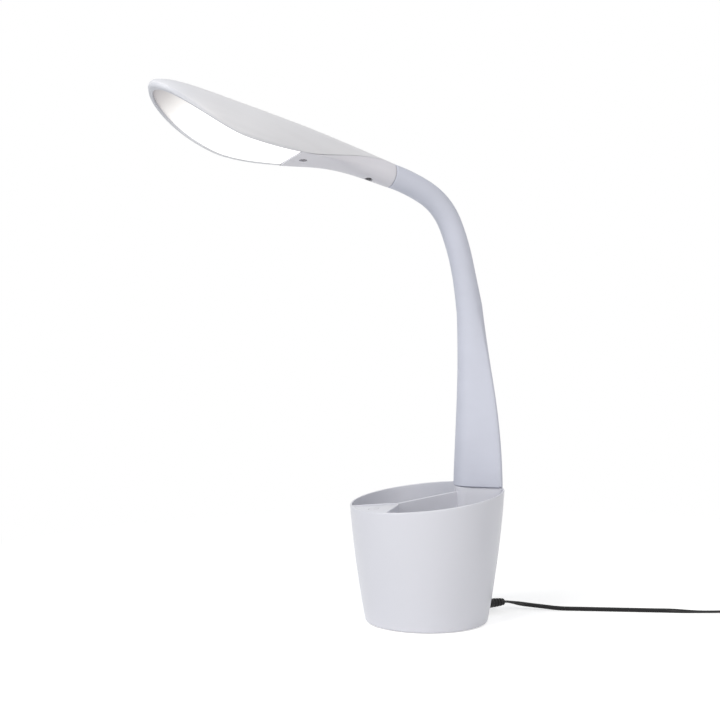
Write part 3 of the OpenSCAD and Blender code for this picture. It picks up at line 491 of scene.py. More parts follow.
cup_mat = moulded("white_plastic", WHITE, 0.31)
skin_mat = skin_material()
shell_mat = head_material("head_shell_plastic", SHELL, 0.36, 0.022)
cover_mat = head_material("head_cover_plastic", COVER, 0.40, 0.012)
glow_mat = glow_material()
jacket_mat = jacket_material()
touch_mat = touch_material()
black_mat = black_material("black_plastic")
case_mat = black_material("adaptor_plastic", 0.36, 1800)
plug_mat = black_material("plug_vinyl", 0.38, 3000, (0.007, 0.007, 0.008, 1), 0.3)
steel_mat = metal("zinc_screw", (0.52, 0.52, 0.54, 1), 0.32)
# the near-black screws stand in for painted shade at the bottom of the deep screw wells
well_shade_screw_mat = metal("screw_painted_well_shade", (0.05, 0.05, 0.055, 1), 0.42, (1500, 1500, 400))
core_mat = metal("coiled_steel", (0.36, 0.36, 0.37, 1), 0.4, (300, 300, 2600), 0.3)
disc_mat = metal("cast_ballast", (0.20, 0.20, 0.21, 1), 0.58, (700, 700, 700), 0.5)
alu_mat = metal("turned_aluminium", (0.70, 0.70, 0.72, 1), 0.3, (2600, 200, 2600))
brass_mat = metal("nickel_brass", (0.74, 0.66, 0.46, 1), 0.24, (400, 400, 2400))
plate_mat = moulded("plate_plastic", srgb(205, 204, 210), 0.4, 0.08)

# the CAD nodes that stay; the pieces below take the place of the others
for node_mat, node_names in (
        (board_material(), "touch_board driver_board"),
        (plate_mat, "bottom_plate"),
        (disc_mat, "ballast_disc"),
        (rubber_material(), "rubber_pad"),
        (steel_mat, "base_screws board_screws neck_washer neck_nut led_screws"),
        (black_mat, "dc_socket"),
        (brass_mat, "socket_pin plug_barrel adaptor_blades"),
        (core_mat, "gooseneck_root gooseneck_core_1 gooseneck_core_2 gooseneck_core_3 gooseneck_core_4"),
        (alu_mat, "head_clamp led_board"),
        # near-black screws: painted shade of the screw wells
        (well_shade_screw_mat, "head_screws"),
        (chip_material(), "led_chips"),
        (strap_material(), "lead_tie")):
    for node_name in node_names.split():
        nodes[node_name].data.materials.clear()
        nodes[node_name].data.materials.append(node_mat)


# ---------------- lead
def catmull(p, s):
    """Point at s on the smooth curve through the points p."""
    i = min(len(p) - 2, int(math.floor(s)))
    t = s - i
    a, b, c, d = p[max(0, i - 1)], p[i], p[i + 1], p[min(len(p) - 1, i + 2)]
    bend, turn = 2 * a - 5 * b + 4 * c - d, 3 * b - a - 3 * c + d
    return 0.5 * (2 * b + (c - a) * t + bend * t * t + turn * t ** 3)


LEAD_W, LEAD_H = 4.2, 2.4  # section of the two-core lead
PLUG_Y, PLUG_LEN, SOCKET_Z = 60.689, 28, 9.1  # face of the plug, its length and the height of its axis
SOCKET_R = 4.1
COIL = np.array([150.0, 300.0])
COIL_R, PITCH = 13.4, 4.8  # radius of the innermost loop, and what each further one adds
COIL_Z, LAYER = 1.9392, 2.8785  # height of the lower layer of loops, and the step to the upper
INNERMOST, COIL_END = 1440, 2970  # angles where the winding turns outwards, and where it ends


def wind(q):
    """Point of the coil after a turn by q degrees: inwards in the lower layer, outwards in the upper one."""
    r = COIL_R + PITCH * abs(q - INNERMOST) / 360
    z = COIL_Z + LAYER * float(ease((q - INNERMOST + 90) / 180))
    return np.array([COIL[0] - r * math.cos(rad(q)), COIL[1] + r * math.sin(rad(q)), z])


route = [np.array(p, float) for p in [
    (0, PLUG_Y + PLUG_LEN, SOCKET_Z), (0.2, 93, 8.7), (1.4, 98, 7.8), (3.6, 104, 6.6), (6.8, 110, 5.6),
    (10.6, 116, 4.8), (14.6, 122, 4.1), (19, 128.6, 3.3), (24, 136, 2.4), (31, 146.5, 1.55),
    (39, 158.5, 1.25), (49, 173.5, 1.25), (60, 190, 1.25), (71, 206.5, 1.25), (82, 223.5, 1.25),
    (92, 240, 1.25), (101, 256, 1.3), (108.5, 270, 1.5), (114, 281, 1.7), (117.4, 289, COIL_Z),
    (117.4, 295, COIL_Z)]]
end = wind(COIL_END) + np.array([5.0, 0, 0])
tail_end = np.array([207.7, 310, 15.0])
tail = [end, end + [6, 0, 0], end + [14, 1, 0.2], end + [23, 1.6, 0.8], end + [32, 1, 2.2],
        end + [40, -1.6, 4.2], tail_end + [-4, 12.5, -3.2], tail_end + [-0.8, 5.6, -0.7], tail_end]
line = [catmull(route, k / 8) for k in range((len(route) - 1) * 8 + 1)]
line += [wind(q) for q in np.arange(2, COIL_END + 1, 5)]
line += [catmull(tail, k / 6) for k in range(1, (len(tail) - 1) * 6 + 1)]
line = np.array(line)
keep = [0]
for i in range(1, len(line)):
    if np.linalg.norm(line[i] - line[keep[-1]]) > 0.9 or i == len(line) - 1:
        keep.append(i)
line = line[keep]
lead_s = np.concatenate([[0], np.cumsum(np.linalg.norm(np.diff(line, axis=0), axis=1))])
# it leaves the plug flat, stands on its edge for a while and lies flat again before the coil
twist = math.pi / 2 * (ease((lead_s - 3) / 24) - ease((lead_s - 150) / 50))
least = (0.05 + np.hypot(LEAD_W / 2 * np.sin(twist), LEAD_H / 2 * np.cos(twist))) * (twist > 0)
window = np.hanning(25)
lift = np.convolve(np.pad(np.maximum(0, least - line[:, 2]), 12), window / window.sum(), "valid")
line[:, 2] = np.maximum(line[:, 2] + lift, least)

# section of the two-core lead: two round cores side by side with a groove between them
SEC = 20
turn = full_turn(SEC)
waist = 1 - 0.24 * np.exp(-(np.cos(turn) / 0.26) ** 2)
sec = np.column_stack([LEAD_W / 2 * np.copysign(np.abs(np.cos(turn)) ** 0.9, np.cos(turn)),
                       LEAD_H / 2 * np.sin(turn) * waist])
rows = []
for i in range(len(line)):
    f = line[min(len(line) - 1, i + 1)] - line[max(0, i - 1)]
    f = f / np.linalg.norm(f)
    s = np.cross(f, [0, 0, 1])
    s = s / np.linalg.norm(s)
    u = np.cross(f, s)
    c, d = math.cos(twist[i]), math.sin(twist[i])
    rows.append(line[i] + sec[:, :1] * (c * s + d * u) + sec[:, 1:] * (c * u - d * s))
lead = mesh_of("lead_cord", *ring_stack(rows), jacket_mat, sharp=60)
attribute(lead.data, "ld_s", np.repeat(lead_s, SEC))
attribute(lead.data, "ld_t", np.tile(np.arange(SEC, dtype=float), len(line)))


def turned(name, profile, start, way, material, count=64):
    """Turned piece: profile of (distance, radius) along the direction way."""
    turn = full_turn(count)
    f = np.array(way, float)
    s = np.cross(f, [0, 0, 1])
    u = np.cross(s, f)
    spokes = np.outer(np.cos(turn), s) + np.outer(np.sin(turn), u)
    return joined(name, [ring_stack([np.array(start) + t * f + r * spokes for t, r in profile])], material)


# outline of one rib, as shares of its pitch and of its depth
RIB = [(0.0, 0.55), (0.08, 0.15), (0.18, 0.0), (0.52, 0.0), (0.62, 0.15), (0.7, 0.6), (0.78, 0.95),
       (0.86, 1.0), (0.94, 0.9)]


def ribbed(first, last, count, r0, r1, depth=0.75):
    """Profile of rounded ribs between two distances, the radius of their tops going from r0 to r1."""
    out = []
    step = (last - first) / count
    for k in range(count):
        for x, y in RIB:
            t = first + (k + x) * step
            out.append((t, r0 + (r1 - r0) * (t - first) / (last - first) - depth * y))
    return out


plug_profile = [(0, 3.6), (0.1, 3.9), (0.35, 4.25), (0.9, 4.5), (14.4, 4.5), (14.9, 4.35), (15.2, 3.9),
                (15.6, 3.75)]
plug_profile += ribbed(16.2, 26.0, 3, 4.5, 3.7) + [(26.3, 3.45), (27.3, 3.35), (27.8, 3.1), (PLUG_LEN, 2.7)]
plug = turned("lead_plug", plug_profile, (0, PLUG_Y, SOCKET_Z), (0, 1, 0), plug_mat)
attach(plug, "base")
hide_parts("plug_body")

# adaptor: a case of two halves with a groove between them, and a ribbed relief where the lead goes in
CASE_W, CASE_H, CASE_LEN, CASE_ROUND, RELIEF = 38.0, 30.0, 60.0, 4.0, 18.0
CASE_FOOT, CASE_TOP = 2.2, 1.5  # roundings of its lower and upper edge


def case_ring(inset, z):
    """Rounded rectangle of the case at height z, drawn in by inset."""
    points = []
    middle = tail_end[1] - RELIEF - CASE_LEN / 2
    for cx, cy, start in ((1, 1, 0), (-1, 1, 90), (-1, -1, 180), (1, -1, 270)):
        for a in np.radians(start + np.linspace(0, 90, 9)):
            points.append([tail_end[0] + cx * (CASE_W / 2 - CASE_ROUND) + (CASE_ROUND - inset) * math.cos(a),
                           middle + cy * (CASE_LEN / 2 - CASE_ROUND) + (CASE_ROUND - inset) * math.sin(a), z])
    return points


profile = [(3.0, 0.0)]
profile += [(CASE_FOOT * (1 - math.sin(rad(a))), CASE_FOOT * (1 - math.cos(rad(a))))
            for a in range(15, 91, 15)]
profile += [(0.0, 23.5), (0.12, 23.62), (0.45, 23.7), (0.45, 24.1), (0.12, 24.18), (0.0, 24.3)]
profile += [(CASE_TOP * (1 - math.cos(rad(a))), CASE_H - CASE_TOP * (1 - math.sin(rad(a))))
            for a in range(0, 91, 18)]
case = joined("adaptor_case", [ring_stack([case_ring(i, z) for i, z in profile])], case_mat, sharp=32)
relief_profile = [(0, 2.3), (0.3, 2.6), (1.2, 2.75)] + ribbed(2.0, 15.5, 5, 2.9, 4.0, 0.7)
relief_profile += [(15.8, 4.0), (18.5, 4.0)]
relief = turned("adaptor_relief", relief_profile, tail_end, (0, -1, 0), plug_mat)
for o in (case, relief):
    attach(o, "base")
    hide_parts("adaptor_body")
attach(lead, "base")
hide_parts("lead_run", "lead_coil", "lead_tail")


# ---------------- neck
FIRST_JOINT = np.array([0, 47.8, 299.2])
LEAN = [9.7, 13.5, 24.4, 62.6, 76.2]  # lean of the neck at each joint, in degrees from the vertical
SECTION = 40.7  # length of its line between two joints
FOOT_R, SLEEVE_R = 12.6, 11.2  # radius of the sleeve at its foot, and after the first section

RIM_H, PILLAR_TOP, PLINTH = 118.6, 126.3, 0.4
BOTTOM_R, TOP_R, BULGE = 58.0, 73.4, 1.8
NOSE, NOSE_R, SPREAD = 34.2, 13.0, 42.4  # V of the pillar: place and radius of its nose, half its angle


def cup_r(z):
    """Outer radius of the cup at height z."""
    t = z / RIM_H
    return BOTTOM_R + (TOP_R - BOTTOM_R) * t + BULGE * 4 * t * (1 - t)


def heading(a):
    return np.array([0, -math.sin(rad(a)), math.cos(rad(a))])


def joint_centres():
    """Each section is an arc from the lean of one joint to that of the next."""
    out = [FIRST_JOINT]
    for i in range(4):
        r = SECTION / rad(LEAN[i + 1] - LEAN[i])
        a, b = rad(LEAN[i]), rad(LEAN[i + 1])
        out.append(out[-1] + r * np.array([0, math.cos(b) - math.cos(a), math.sin(b) - math.sin(a)]))
    return out


JOINT = joint_centres()
NA = 72
angles = full_turn(NA)

# foot of the boot: a rounded outline with its sides at these angles and distances from the boot's centre
BOOT_C, BOOT_IN, BOOT_SPREAD, BOOT_REAR = 56.0, 0.8, 1.3, 7.3
boot_r = cup_r(PILLAR_TOP) - BOOT_IN
flank = NOSE_R + math.sin(rad(SPREAD)) * (BOOT_C - NOSE - NOSE_R) + BOOT_IN + BOOT_SPREAD
shoulder = boot_r - BOOT_C * math.cos(rad(22))
sides = [(-SPREAD, flank), (180 + SPREAD, flank), (-90, BOOT_C - NOSE + BOOT_IN), (90, boot_r - BOOT_C),
         (68, shoulder), (112, shoulder)]
edge = sum((np.maximum(0, np.cos(angles - rad(a))) / d) ** 10 for a, d in sides) ** -0.1
BOOT_FOOT = PILLAR_TOP + PLINTH
BOOT_EDGE, BOOT_RUN, BOOT_GAP = 0.9, 170.0, 3.2
boot_top = JOINT[0] - BOOT_GAP * heading(LEAN[0])


def boot_ring(t, inset=0.0, lift=0.0):
    """Ring of the boot at share t of its height, going over from its foot to the round sleeve."""
    u = t ** 1.3
    share = 1 - 0.33 * float(ease(u)) - 0.67 * u
    start = BOOT_C + BOOT_REAR
    y, z = start - (start - boot_top[1]) * t ** 0.7, BOOT_FOOT + (boot_top[2] - BOOT_FOOT) * t
    q = rad(LEAN[0] * t)
    mid = share * (BOOT_C - y)
    x = (1 - share) * FOOT_R * np.cos(angles) + share * edge * np.cos(angles)
    v = (1 - share) * FOOT_R * np.sin(angles) + share * edge * np.sin(angles)
    k = 1 - inset / np.hypot(x, v)
    v = mid + v * k
    return np.stack([x * k, y + v * math.cos(q), z + v * math.sin(q) + lift], axis=1)


def sleeve_ring(centre, lean, r):
    across = np.array([0, math.cos(rad(lean)), math.sin(rad(lean))])
    return centre + r * (np.outer(np.cos(angles), [1, 0, 0]) + np.outer(np.sin(angles), across))


# line of the flexible part: the lean changes smoothly from section to section, and still meets every joint
STEPS, PAD = 60, 13  # steps to a section, and how far the change of lean is smoothed over
N_FINE = 4 * STEPS
ds = SECTION / STEPS
kappa = np.repeat(np.diff(LEAN) / SECTION, STEPS)
window = np.hanning(2 * PAD + 3)[1:-1]
smooth_k = np.convolve(np.pad(kappa, PAD, "edge"), window / window.sum(), "valid")
lean_s = LEAN[0] + np.concatenate([[0], np.cumsum(smooth_k * ds)])
lean_s += (LEAN[4] - lean_s[-1]) * np.linspace(0, 1, N_FINE + 1)
steps = np.stack([heading(a) for a in (lean_s[1:] + lean_s[:-1]) / 2]) * ds
path = JOINT[0] + np.concatenate([[np.zeros(3)], np.cumsum(steps, axis=0)])
path += np.outer(np.linspace(0, 1, N_FINE + 1), JOINT[4] - path[-1])

rings, ring_s, cuts = [], [], [0]
for f in (0, 25, 50, 75):
    rings.append(boot_ring(0.0, BOOT_EDGE * (1 - math.sin(rad(f))), BOOT_EDGE * (1 - math.cos(rad(f)))))
    ring_s.append(0.2 * len(rings))
for t in np.arange(1, 57) / 56:
    if t * (boot_top[2] - BOOT_FOOT) > 1.2:
        rings.append(boot_ring(t))
        ring_s.append(t * BOOT_RUN)
for k in range(0, N_FINE - 1, 3):
    x = min(1, k / STEPS)
    if k in (30, 90, 150):
        cuts.append(len(rings))
    rings.append(sleeve_ring(path[k], lean_s[k], FOOT_R - (FOOT_R - SLEEVE_R) * (1.5 * x - 0.5 * x ** 3)))
    ring_s.append(BOOT_RUN + BOOT_GAP + k * ds)
# rounded edge at the seam to the head
NECK_SEAM, NECK_EDGE, NECK_BORE = 0.2, 0.6, 8.9
seam_end = [(NECK_SEAM + NECK_EDGE * (1 - math.sin(rad(f))), SLEEVE_R - NECK_EDGE * (1 - math.cos(rad(f))))
            for f in (0, 30, 60, 90)] + [(NECK_SEAM, NECK_BORE)]
for back, r in seam_end:
    rings.append(sleeve_ring(path[-1] - back * heading(lean_s[-1]), lean_s[-1], r))
    ring_s.append(BOOT_RUN + BOOT_GAP + 4 * SECTION + (1.5 if r == NECK_BORE else -back))
cuts.append(len(rings) - 1)
rings = np.array(rings)
du = np.gradient(rings, axis=0)
dv = np.roll(rings, -1, axis=1) - np.roll(rings, 1, axis=1)
normals = np.cross(dv, du)
normals /= np.maximum(np.linalg.norm(normals, axis=2, keepdims=True), 1e-9)


def along(k, shift):
    """Point of the neck's line at step k, moved along it by shift."""
    return tuple((path[k] + shift * heading(lean_s[k])) * MM)


# each piece of skin: its name, the CAD nodes it replaces, and the step and shift on the neck's line for each
# of its ends, whose points are worked out but not used
SKINS = [("neck_skin_foot", ("neck_boot",), (0, -26), (30, -4)),
         ("neck_skin_low", ("neck_sleeve_1",), (30, 4), (90, -4)),
         ("neck_skin_mid", ("neck_sleeve_2",), (90, 5), (150, -5)),
         ("neck_skin_elbow", ("neck_sleeve_3", "neck_sleeve_4"), (150, 6), (205, -2))]
for i, (name, replaced, start, stop) in enumerate(SKINS):
    lo, hi = cuts[i], cuts[i + 1] + 1
    faces = band_faces(hi - lo, NA) + ([list(range(NA))[::-1]] if i == 0 else [])
    o = mesh_of(name, rings[lo:hi].reshape(-1, 3), faces, skin_mat)
    attribute(o.data, "sk_s", np.repeat(ring_s[lo:hi], NA))
    attribute(o.data, "sk_x", np.tile(np.cos(angles) * 12, hi - lo))
    attribute(o.data, "sk_y", np.tile(np.sin(angles) * 12, hi - lo))
    o.data.normals_split_custom_set_from_vertices([tuple(v) for v in normals[lo:hi].reshape(-1, 3)])
    along(*start)
    along(*stop)
    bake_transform(o)
    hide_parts(*replaced)


# ---------------- head
HEAD_LEN, HALF_W, CROWN, RIM, DIFF_U, TIP_N = 243.5, 31.0, 16.6, 22.5, 103.0, 4.4
WIDEST_U, DEEPEST_U, CROWN_U = HEAD_LEN - 65, HEAD_LEN - 85, 150  # distances from the seam at the neck
place = np.array(Matrix.Translation(Vector(JOINT[4])) @ Matrix.Rotation(rad(-HEAD_TILT), 4, "X")
                 @ Matrix.Rotation(rad(-HEAD_ROLL), 4, "Y"))


def placed(p):
    """Points of the head, taken from its own axes to the frame's."""
    p = np.asarray(p, float).reshape(-1, 3)
    return p @ place[:3, :3].T + place[:3, 3]


def half_w(u, side=0.0, tip=0.0):
    """Half width of the outline at u, drawn in at its sides and at its tip."""
    if u < WIDEST_U:
        return SLEEVE_R + (HALF_W - SLEEVE_R) * float(ease((u - 20) / (WIDEST_U - 35))) - side
    return (HALF_W - side) * math.sqrt(1 - clamp01((u - WIDEST_U) / (HEAD_LEN - WIDEST_U - tip)) ** 2.4)


def crown(u):
    """Height of the top of the shell."""
    if u < CROWN_U:
        return CROWN - (CROWN - SLEEVE_R) * clamp01(1 - u / (CROWN_U - 40)) ** 2
    return TIP_N + (CROWN - TIP_N) * (1 - clamp01((u - CROWN_U) / (HEAD_LEN - CROWN_U)) ** 4) ** 0.25


def rim_n(u):
    """Height of the rim of the shell."""
    if u < DEEPEST_U:
        return -RIM * float(ease(u / DEEPEST_U))
    return -RIM + (RIM + TIP_N) * ((u - DEEPEST_U) / (HEAD_LEN - DEEPEST_U)) ** 1.6


def belly(u):
    return max(0.9, SLEEVE_R * (1 - float(ease(u / 96))))


def dish(u):
    return 1.2 * clamp01(u / DIFF_U) ** 3


def parting(u):
    """Angle around the section, in degrees, where shell and cover meet."""
    return 66 * clamp01(1 - u / DIFF_U) ** 2


def top_point(u, a, t):
    """Point of the shell at angle a around its section, t inside its skin."""
    w, r = half_w(u), rim_n(u)
    return np.array([(w - t) * math.cos(a), -u, r + (crown(u) - r - t) * math.sin(a)])


def cover_point(u, a, t):
    s = math.sin(a)
    z = rim_n(u) - SEAM_DROP
    z += (crown(u) - rim_n(u) - t) * s if s >= 0 else (belly(u) - t) * s - dish(u) * s ** 3
    return np.array([(half_w(u) - t) * math.cos(a), -u, z])


SEAM, SEAM_ROUND, SEAM_DROP, T = 0.2, 0.6, 0.15, 1.8
SIDE_LIP, TIP_LIP, LIP_RISE = 2.7, 5.2, 0.35  # lip around the light window, at its sides and at its tip
REAR = [SEAM, SEAM + 0.25, SEAM + SEAM_ROUND] + [SEAM + (DIFF_U - SEAM) * i / 40 for i in range(1, 41)]
FRONT = [DIFF_U + (HEAD_LEN - 0.05 - DIFF_U) * math.sin(rad(90 * i / 76)) for i in range(1, 77)]
COLS, LIP_COLS = 60, 9


def seam_round(u):
    """How far the edge at the neck seam is rounded in at u."""
    return SEAM_ROUND * (1 - math.sin(rad(90 * min(1, (u - SEAM) / SEAM_ROUND))))


def rear_section(u):
    """Closed ring behind the light window: outer skin, inner skin."""
    p = rad(parting(u))
    turn = [p + (math.pi - 2 * p) * j / COLS for j in range(COLS + 1)]
    outer = [top_point(u, a, seam_round(u)) for a in turn]
    inner = [top_point(u, a, T) for a in turn]
    near = [outer[0] + (inner[0] - outer[0]) * k / LIP_COLS for k in range(1, LIP_COLS)]
    far = [outer[-1] + (inner[-1] - outer[-1]) * k / LIP_COLS for k in range(1, LIP_COLS)]
    return outer + far + inner[::-1] + near[::-1]


def lip(outer, inner, round_out, round_in):
    """Underside of the lip, from the outer skin to the window: a round, a rising flat and a small round."""
    out = []
    for k in range(1, LIP_COLS):
        x = 0.5 - 0.5 * math.cos(math.pi * k / LIP_COLS)
        q = outer + (inner - outer) * x
        bow = round_out * (1 - min(1, x / 0.3)) ** 2 + round_in * (1 - min(1, (1 - x) / 0.2)) ** 2
        out.append(q + (0, 0, bow - (1 - x) * round_out - x * round_in))
    return out


def front_section(u):
    """Closed ring beside the light window: outer skin, lip, wall of the window, inner skin."""
    share = (u - DIFF_U) / (HEAD_LEN - DIFF_U)
    v = DIFF_U + share * (HEAD_LEN - TIP_LIP - DIFF_U)
    low, high = rim_n(u), max(0.3, crown(u) - rim_n(u))
    round_out = min(1.2 + 2.6 * float(ease((u - 185) / 45)), 0.45 * high) * min(1, share / 0.04)
    a0 = math.asin(min(0.9, round_out / high))
    outer = [top_point(u, a0 + (math.pi - 2 * a0) * j / COLS, 0) for j in range(COLS + 1)]
    w = half_w(v, T + (SIDE_LIP - T) * min(1, share / 0.1), TIP_LIP)
    base = rim_n(v) + LIP_RISE
    roof = max(0.5, crown(v) - base - T)
    turn = [math.pi * j / COLS for j in range(COLS + 1)]
    inner = [np.array([w * math.cos(a), -v, base + roof * math.sin(a)]) for a in turn]
    near = lip(outer[0], inner[0], outer[0][2] - low, LIP_RISE)
    far = lip(outer[-1], inner[-1], outer[-1][2] - low, LIP_RISE)
    return outer + far + inner[::-1] + near[::-1]


sections = [rear_section(u) for u in REAR] + [front_section(u) for u in FRONT]
n_ring = len(sections[0])
faces = band_faces(len(sections), n_ring)
inner_0 = n_ring - (LIP_COLS - 1) - 1
for j in range(COLS):
    faces.append([j + 1, j, inner_0 - j, inner_0 - 1 - j])
# the tip is closed: outer arc, inner arc, and the two sides of the lip joined
last = (len(sections) - 1) * n_ring
faces.append([last + j for j in range(COLS + 1)])
faces.append([last + COLS + LIP_COLS + j for j in range(COLS + 1)])
for j in range(LIP_COLS):
    near_0, near_1 = last + (n_ring - j) % n_ring, last + n_ring - j - 1
    faces.append([near_0, last + COLS + j, last + COLS + j + 1, near_1])
shell = mesh_of("head_upper_shell", placed(np.concatenate(sections)), faces, shell_mat, sharp=50)
# painted shade: the lip and the inside are greyer, more so towards the tip, and so is the skin beside the lip
# there
lip_shade_mask = [1.0] * (LIP_COLS - 1)
shade_mask = [0.6] + [0.0] * (COLS - 1) + [0.6] + lip_shade_mask + [1.0] * (COLS + 1) + lip_shade_mask
lip_shade = [[0.0] * n_ring for u in REAR]
for u in FRONT:
    share, least = 0.25 + 0.75 * float(ease((u - 185) / 50)), 0.6 * float(ease((u - 190) / 45))
    lip_shade.append([max(b * share, least) for b in shade_mask])
attribute(shell.data, "hd_lip_shade", np.array(lip_shade).ravel())
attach(shell, "head")
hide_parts("head_top_shell")

# rear cover
split = rad(0.7)
cover_outer, cover_inner = [], []
for u in REAR:
    turn = np.linspace(math.pi - rad(parting(u)) + split, 2 * math.pi + rad(parting(u)) - split, COLS + 1)
    cover_outer += [cover_point(u, a, seam_round(u)) for a in turn]
    cover_inner += [cover_point(u, a, T) for a in turn]
faces = plate_faces(len(REAR), COLS + 1)
cover = mesh_of("head_lower_cover", placed(cover_outer + cover_inner), faces, cover_mat, sharp=40)


def cylinder(u, low, high, r, count=64):
    """Cylinder on the head's middle line at u, along its own vertical."""
    points, faces = ring_stack([ring_at(r, z, full_turn(count), y=-u) for z in (low, high)])
    return mesh_of("cylinder", placed(points), faces)


def cover_low(u):
    return rim_n(u) - SEAM_DROP - belly(u) + dish(u)


# screw wells: place, height of their floor, and how far the boss reaches below it
WELL_R, WELL_T = 3.7, 1.4
FRONT_U, REAR_U = DIFF_U - 12, 22.7
WELLS = [(FRONT_U, cover_low(FRONT_U) + 3.6, 2.6), (REAR_U, cover_low(REAR_U) + 2, 0.5)]
for u, well_floor, below in WELLS:
    carve(cover, cylinder(u, well_floor - below, well_floor + WELL_T, WELL_R + WELL_T), "UNION")
for u, well_floor, below in WELLS:
    carve(cover, cylinder(u, well_floor - 20, well_floor, WELL_R), "DIFFERENCE")
cover.data.set_sharp_from_angle(angle=rad(40))
cover.data.materials.clear()
cover.data.materials.append(cover_mat)
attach(cover, "head")
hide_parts("head_rear_cover")

# light panel: its edge is let into the wall of the window
LENS_IN, LENS_T, LENS_BOW, LENS_COLS, LENS_ROWS = 0.4, 1.2, 0.6, 48, 71
LENS_START, LENS_END = DIFF_U + 0.3, HEAD_LEN - TIP_LIP + LENS_IN
under, over, to_edge, to_tip = [], [], [], []
for i in range(LENS_ROWS):
    u = LENS_START + (LENS_END - LENS_START) * math.sin(rad(90 * i / (LENS_ROWS - 1)))
    w = half_w(u, SIDE_LIP - LENS_IN, TIP_LIP - LENS_IN)
    recess = 0.8 + 1.7 * float(ease((u - 140) / 90))
    for j in range(LENS_COLS + 1):
        q = 1 - 2 * j / LENS_COLS
        q = (q + math.sin(q * math.pi / 2)) / 2
        z = rim_n(u) + recess + LENS_BOW * (1 - q * q)
        under.append([w * q, -u, z])
        over.append([w * q, -u, z + LENS_T])
        to_edge.append(min(w * (1 - abs(q)), LENS_END - u) / 14)
        to_tip.append((LENS_END - u) / 110)
faces = plate_faces(LENS_ROWS, LENS_COLS + 1, flip=True)
lens = mesh_of("light_panel", placed(under + over), faces, glow_mat, sharp=50)
attribute(lens.data, "ln_edge", np.clip(to_edge + to_edge, 0, 1))
attribute(lens.data, "ln_tip", np.clip(to_tip + to_tip, 0, 1))
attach(lens, "head")
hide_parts("diffuser")


# ---------------- cup
RIM_TILT, WALL, LIFT, FOOT_ROUND = rad(6.7), 2.2, 0.8, 2.0
FLOOR_Z, FLOOR_T, FLOOR_ROUND, PLATE_TOP = 24.0, 2.4, 5.0, 3.6
CEILING = FLOOR_Z - FLOOR_T
CAVITY_R, HOLLOW_R = cup_r(0) - WALL - 3, cup_r(PLATE_TOP) - WALL - 0.4
LEDGE_DROP, PANEL_SINK, PANEL_BORDER, PANEL_T, PANEL_GAP = 0.9, 0.7, 1.8, 1.6, 0.2
SEAT_R = cup_r(RIM_H - 12) - WALL - PANEL_BORDER
LEDGE = {"nose": 32.3, "nose_r": 11.0, "half": rad(41), "side": -1}
PILLAR = {"nose": NOSE, "nose_r": NOSE_R, "half": rad(SPREAD), "side": 1}


def quarter(steps=5):
    """Angles of a quarter round, without its start."""
    return [math.pi / 2 * i / steps for i in range(1, steps + 1)]


def rim_plane(y, above=0.0):
    return RIM_H + math.tan(RIM_TILT) * y + above / math.cos(RIM_TILT)


def wall_rows(turn):
    """Rows of (radius, height) of the cup: ceiling of the base, underside, outside, rim, inside, floor."""
    up = np.sin(turn)
    in_pillar = np.abs(turn - math.pi / 2) < rad(24)
    outer_round, inner_round = 0.9, np.where(in_pillar, 0.02, 0.7)

    def top_at(rho):
        return np.minimum(rim_plane(rho * up), PILLAR_TOP) - np.where(in_pillar, 0.02, 0.0)

    top = top_at(TOP_R)
    for _ in range(6):
        top = top_at(cup_r(top))
    z1 = LIFT + FOOT_ROUND
    foot = cup_r(z1) - FOOT_ROUND
    rows = [(15, CEILING), (HOLLOW_R, CEILING), (HOLLOW_R, PLATE_TOP), (CAVITY_R, PLATE_TOP),
            (CAVITY_R, LIFT + 0.4), (CAVITY_R + 0.4, LIFT), (foot, LIFT)]
    rows += [(foot + FOOT_ROUND * math.sin(a), z1 - FOOT_ROUND * math.cos(a)) for a in quarter(8)]
    for k in range(1, 27):
        z = z1 + (top - outer_round - z1) * k / 26
        rows.append((cup_r(z), z))
    centre = cup_r(top - outer_round) - outer_round
    for a in quarter():
        rho = centre + outer_round * math.cos(a)
        rows.append((rho, top_at(rho) - outer_round * (1 - math.sin(a))))
    inside = cup_r(top) - WALL
    for a in [0.0] + quarter():
        rho = inside + inner_round * (1 - math.sin(a))
        rows.append((rho, top_at(rho) - inner_round * (1 - math.cos(a))))
    low = FLOOR_Z + FLOOR_ROUND
    for k in range(1, 21):
        z = top - inner_round + (low - top + inner_round) * k / 20
        rows.append((cup_r(z) - WALL, z))
    centre = cup_r(low) - WALL - FLOOR_ROUND
    rows += [(centre + FLOOR_ROUND * math.cos(a), low - FLOOR_ROUND * math.sin(a)) for a in quarter(6)]
    return rows + [(15, FLOOR_Z)]


def cup_wall(count=288):
    turn = full_turn(count)
    return ring_stack([ring_at(rho, z, turn) for rho, z in wall_rows(turn)])


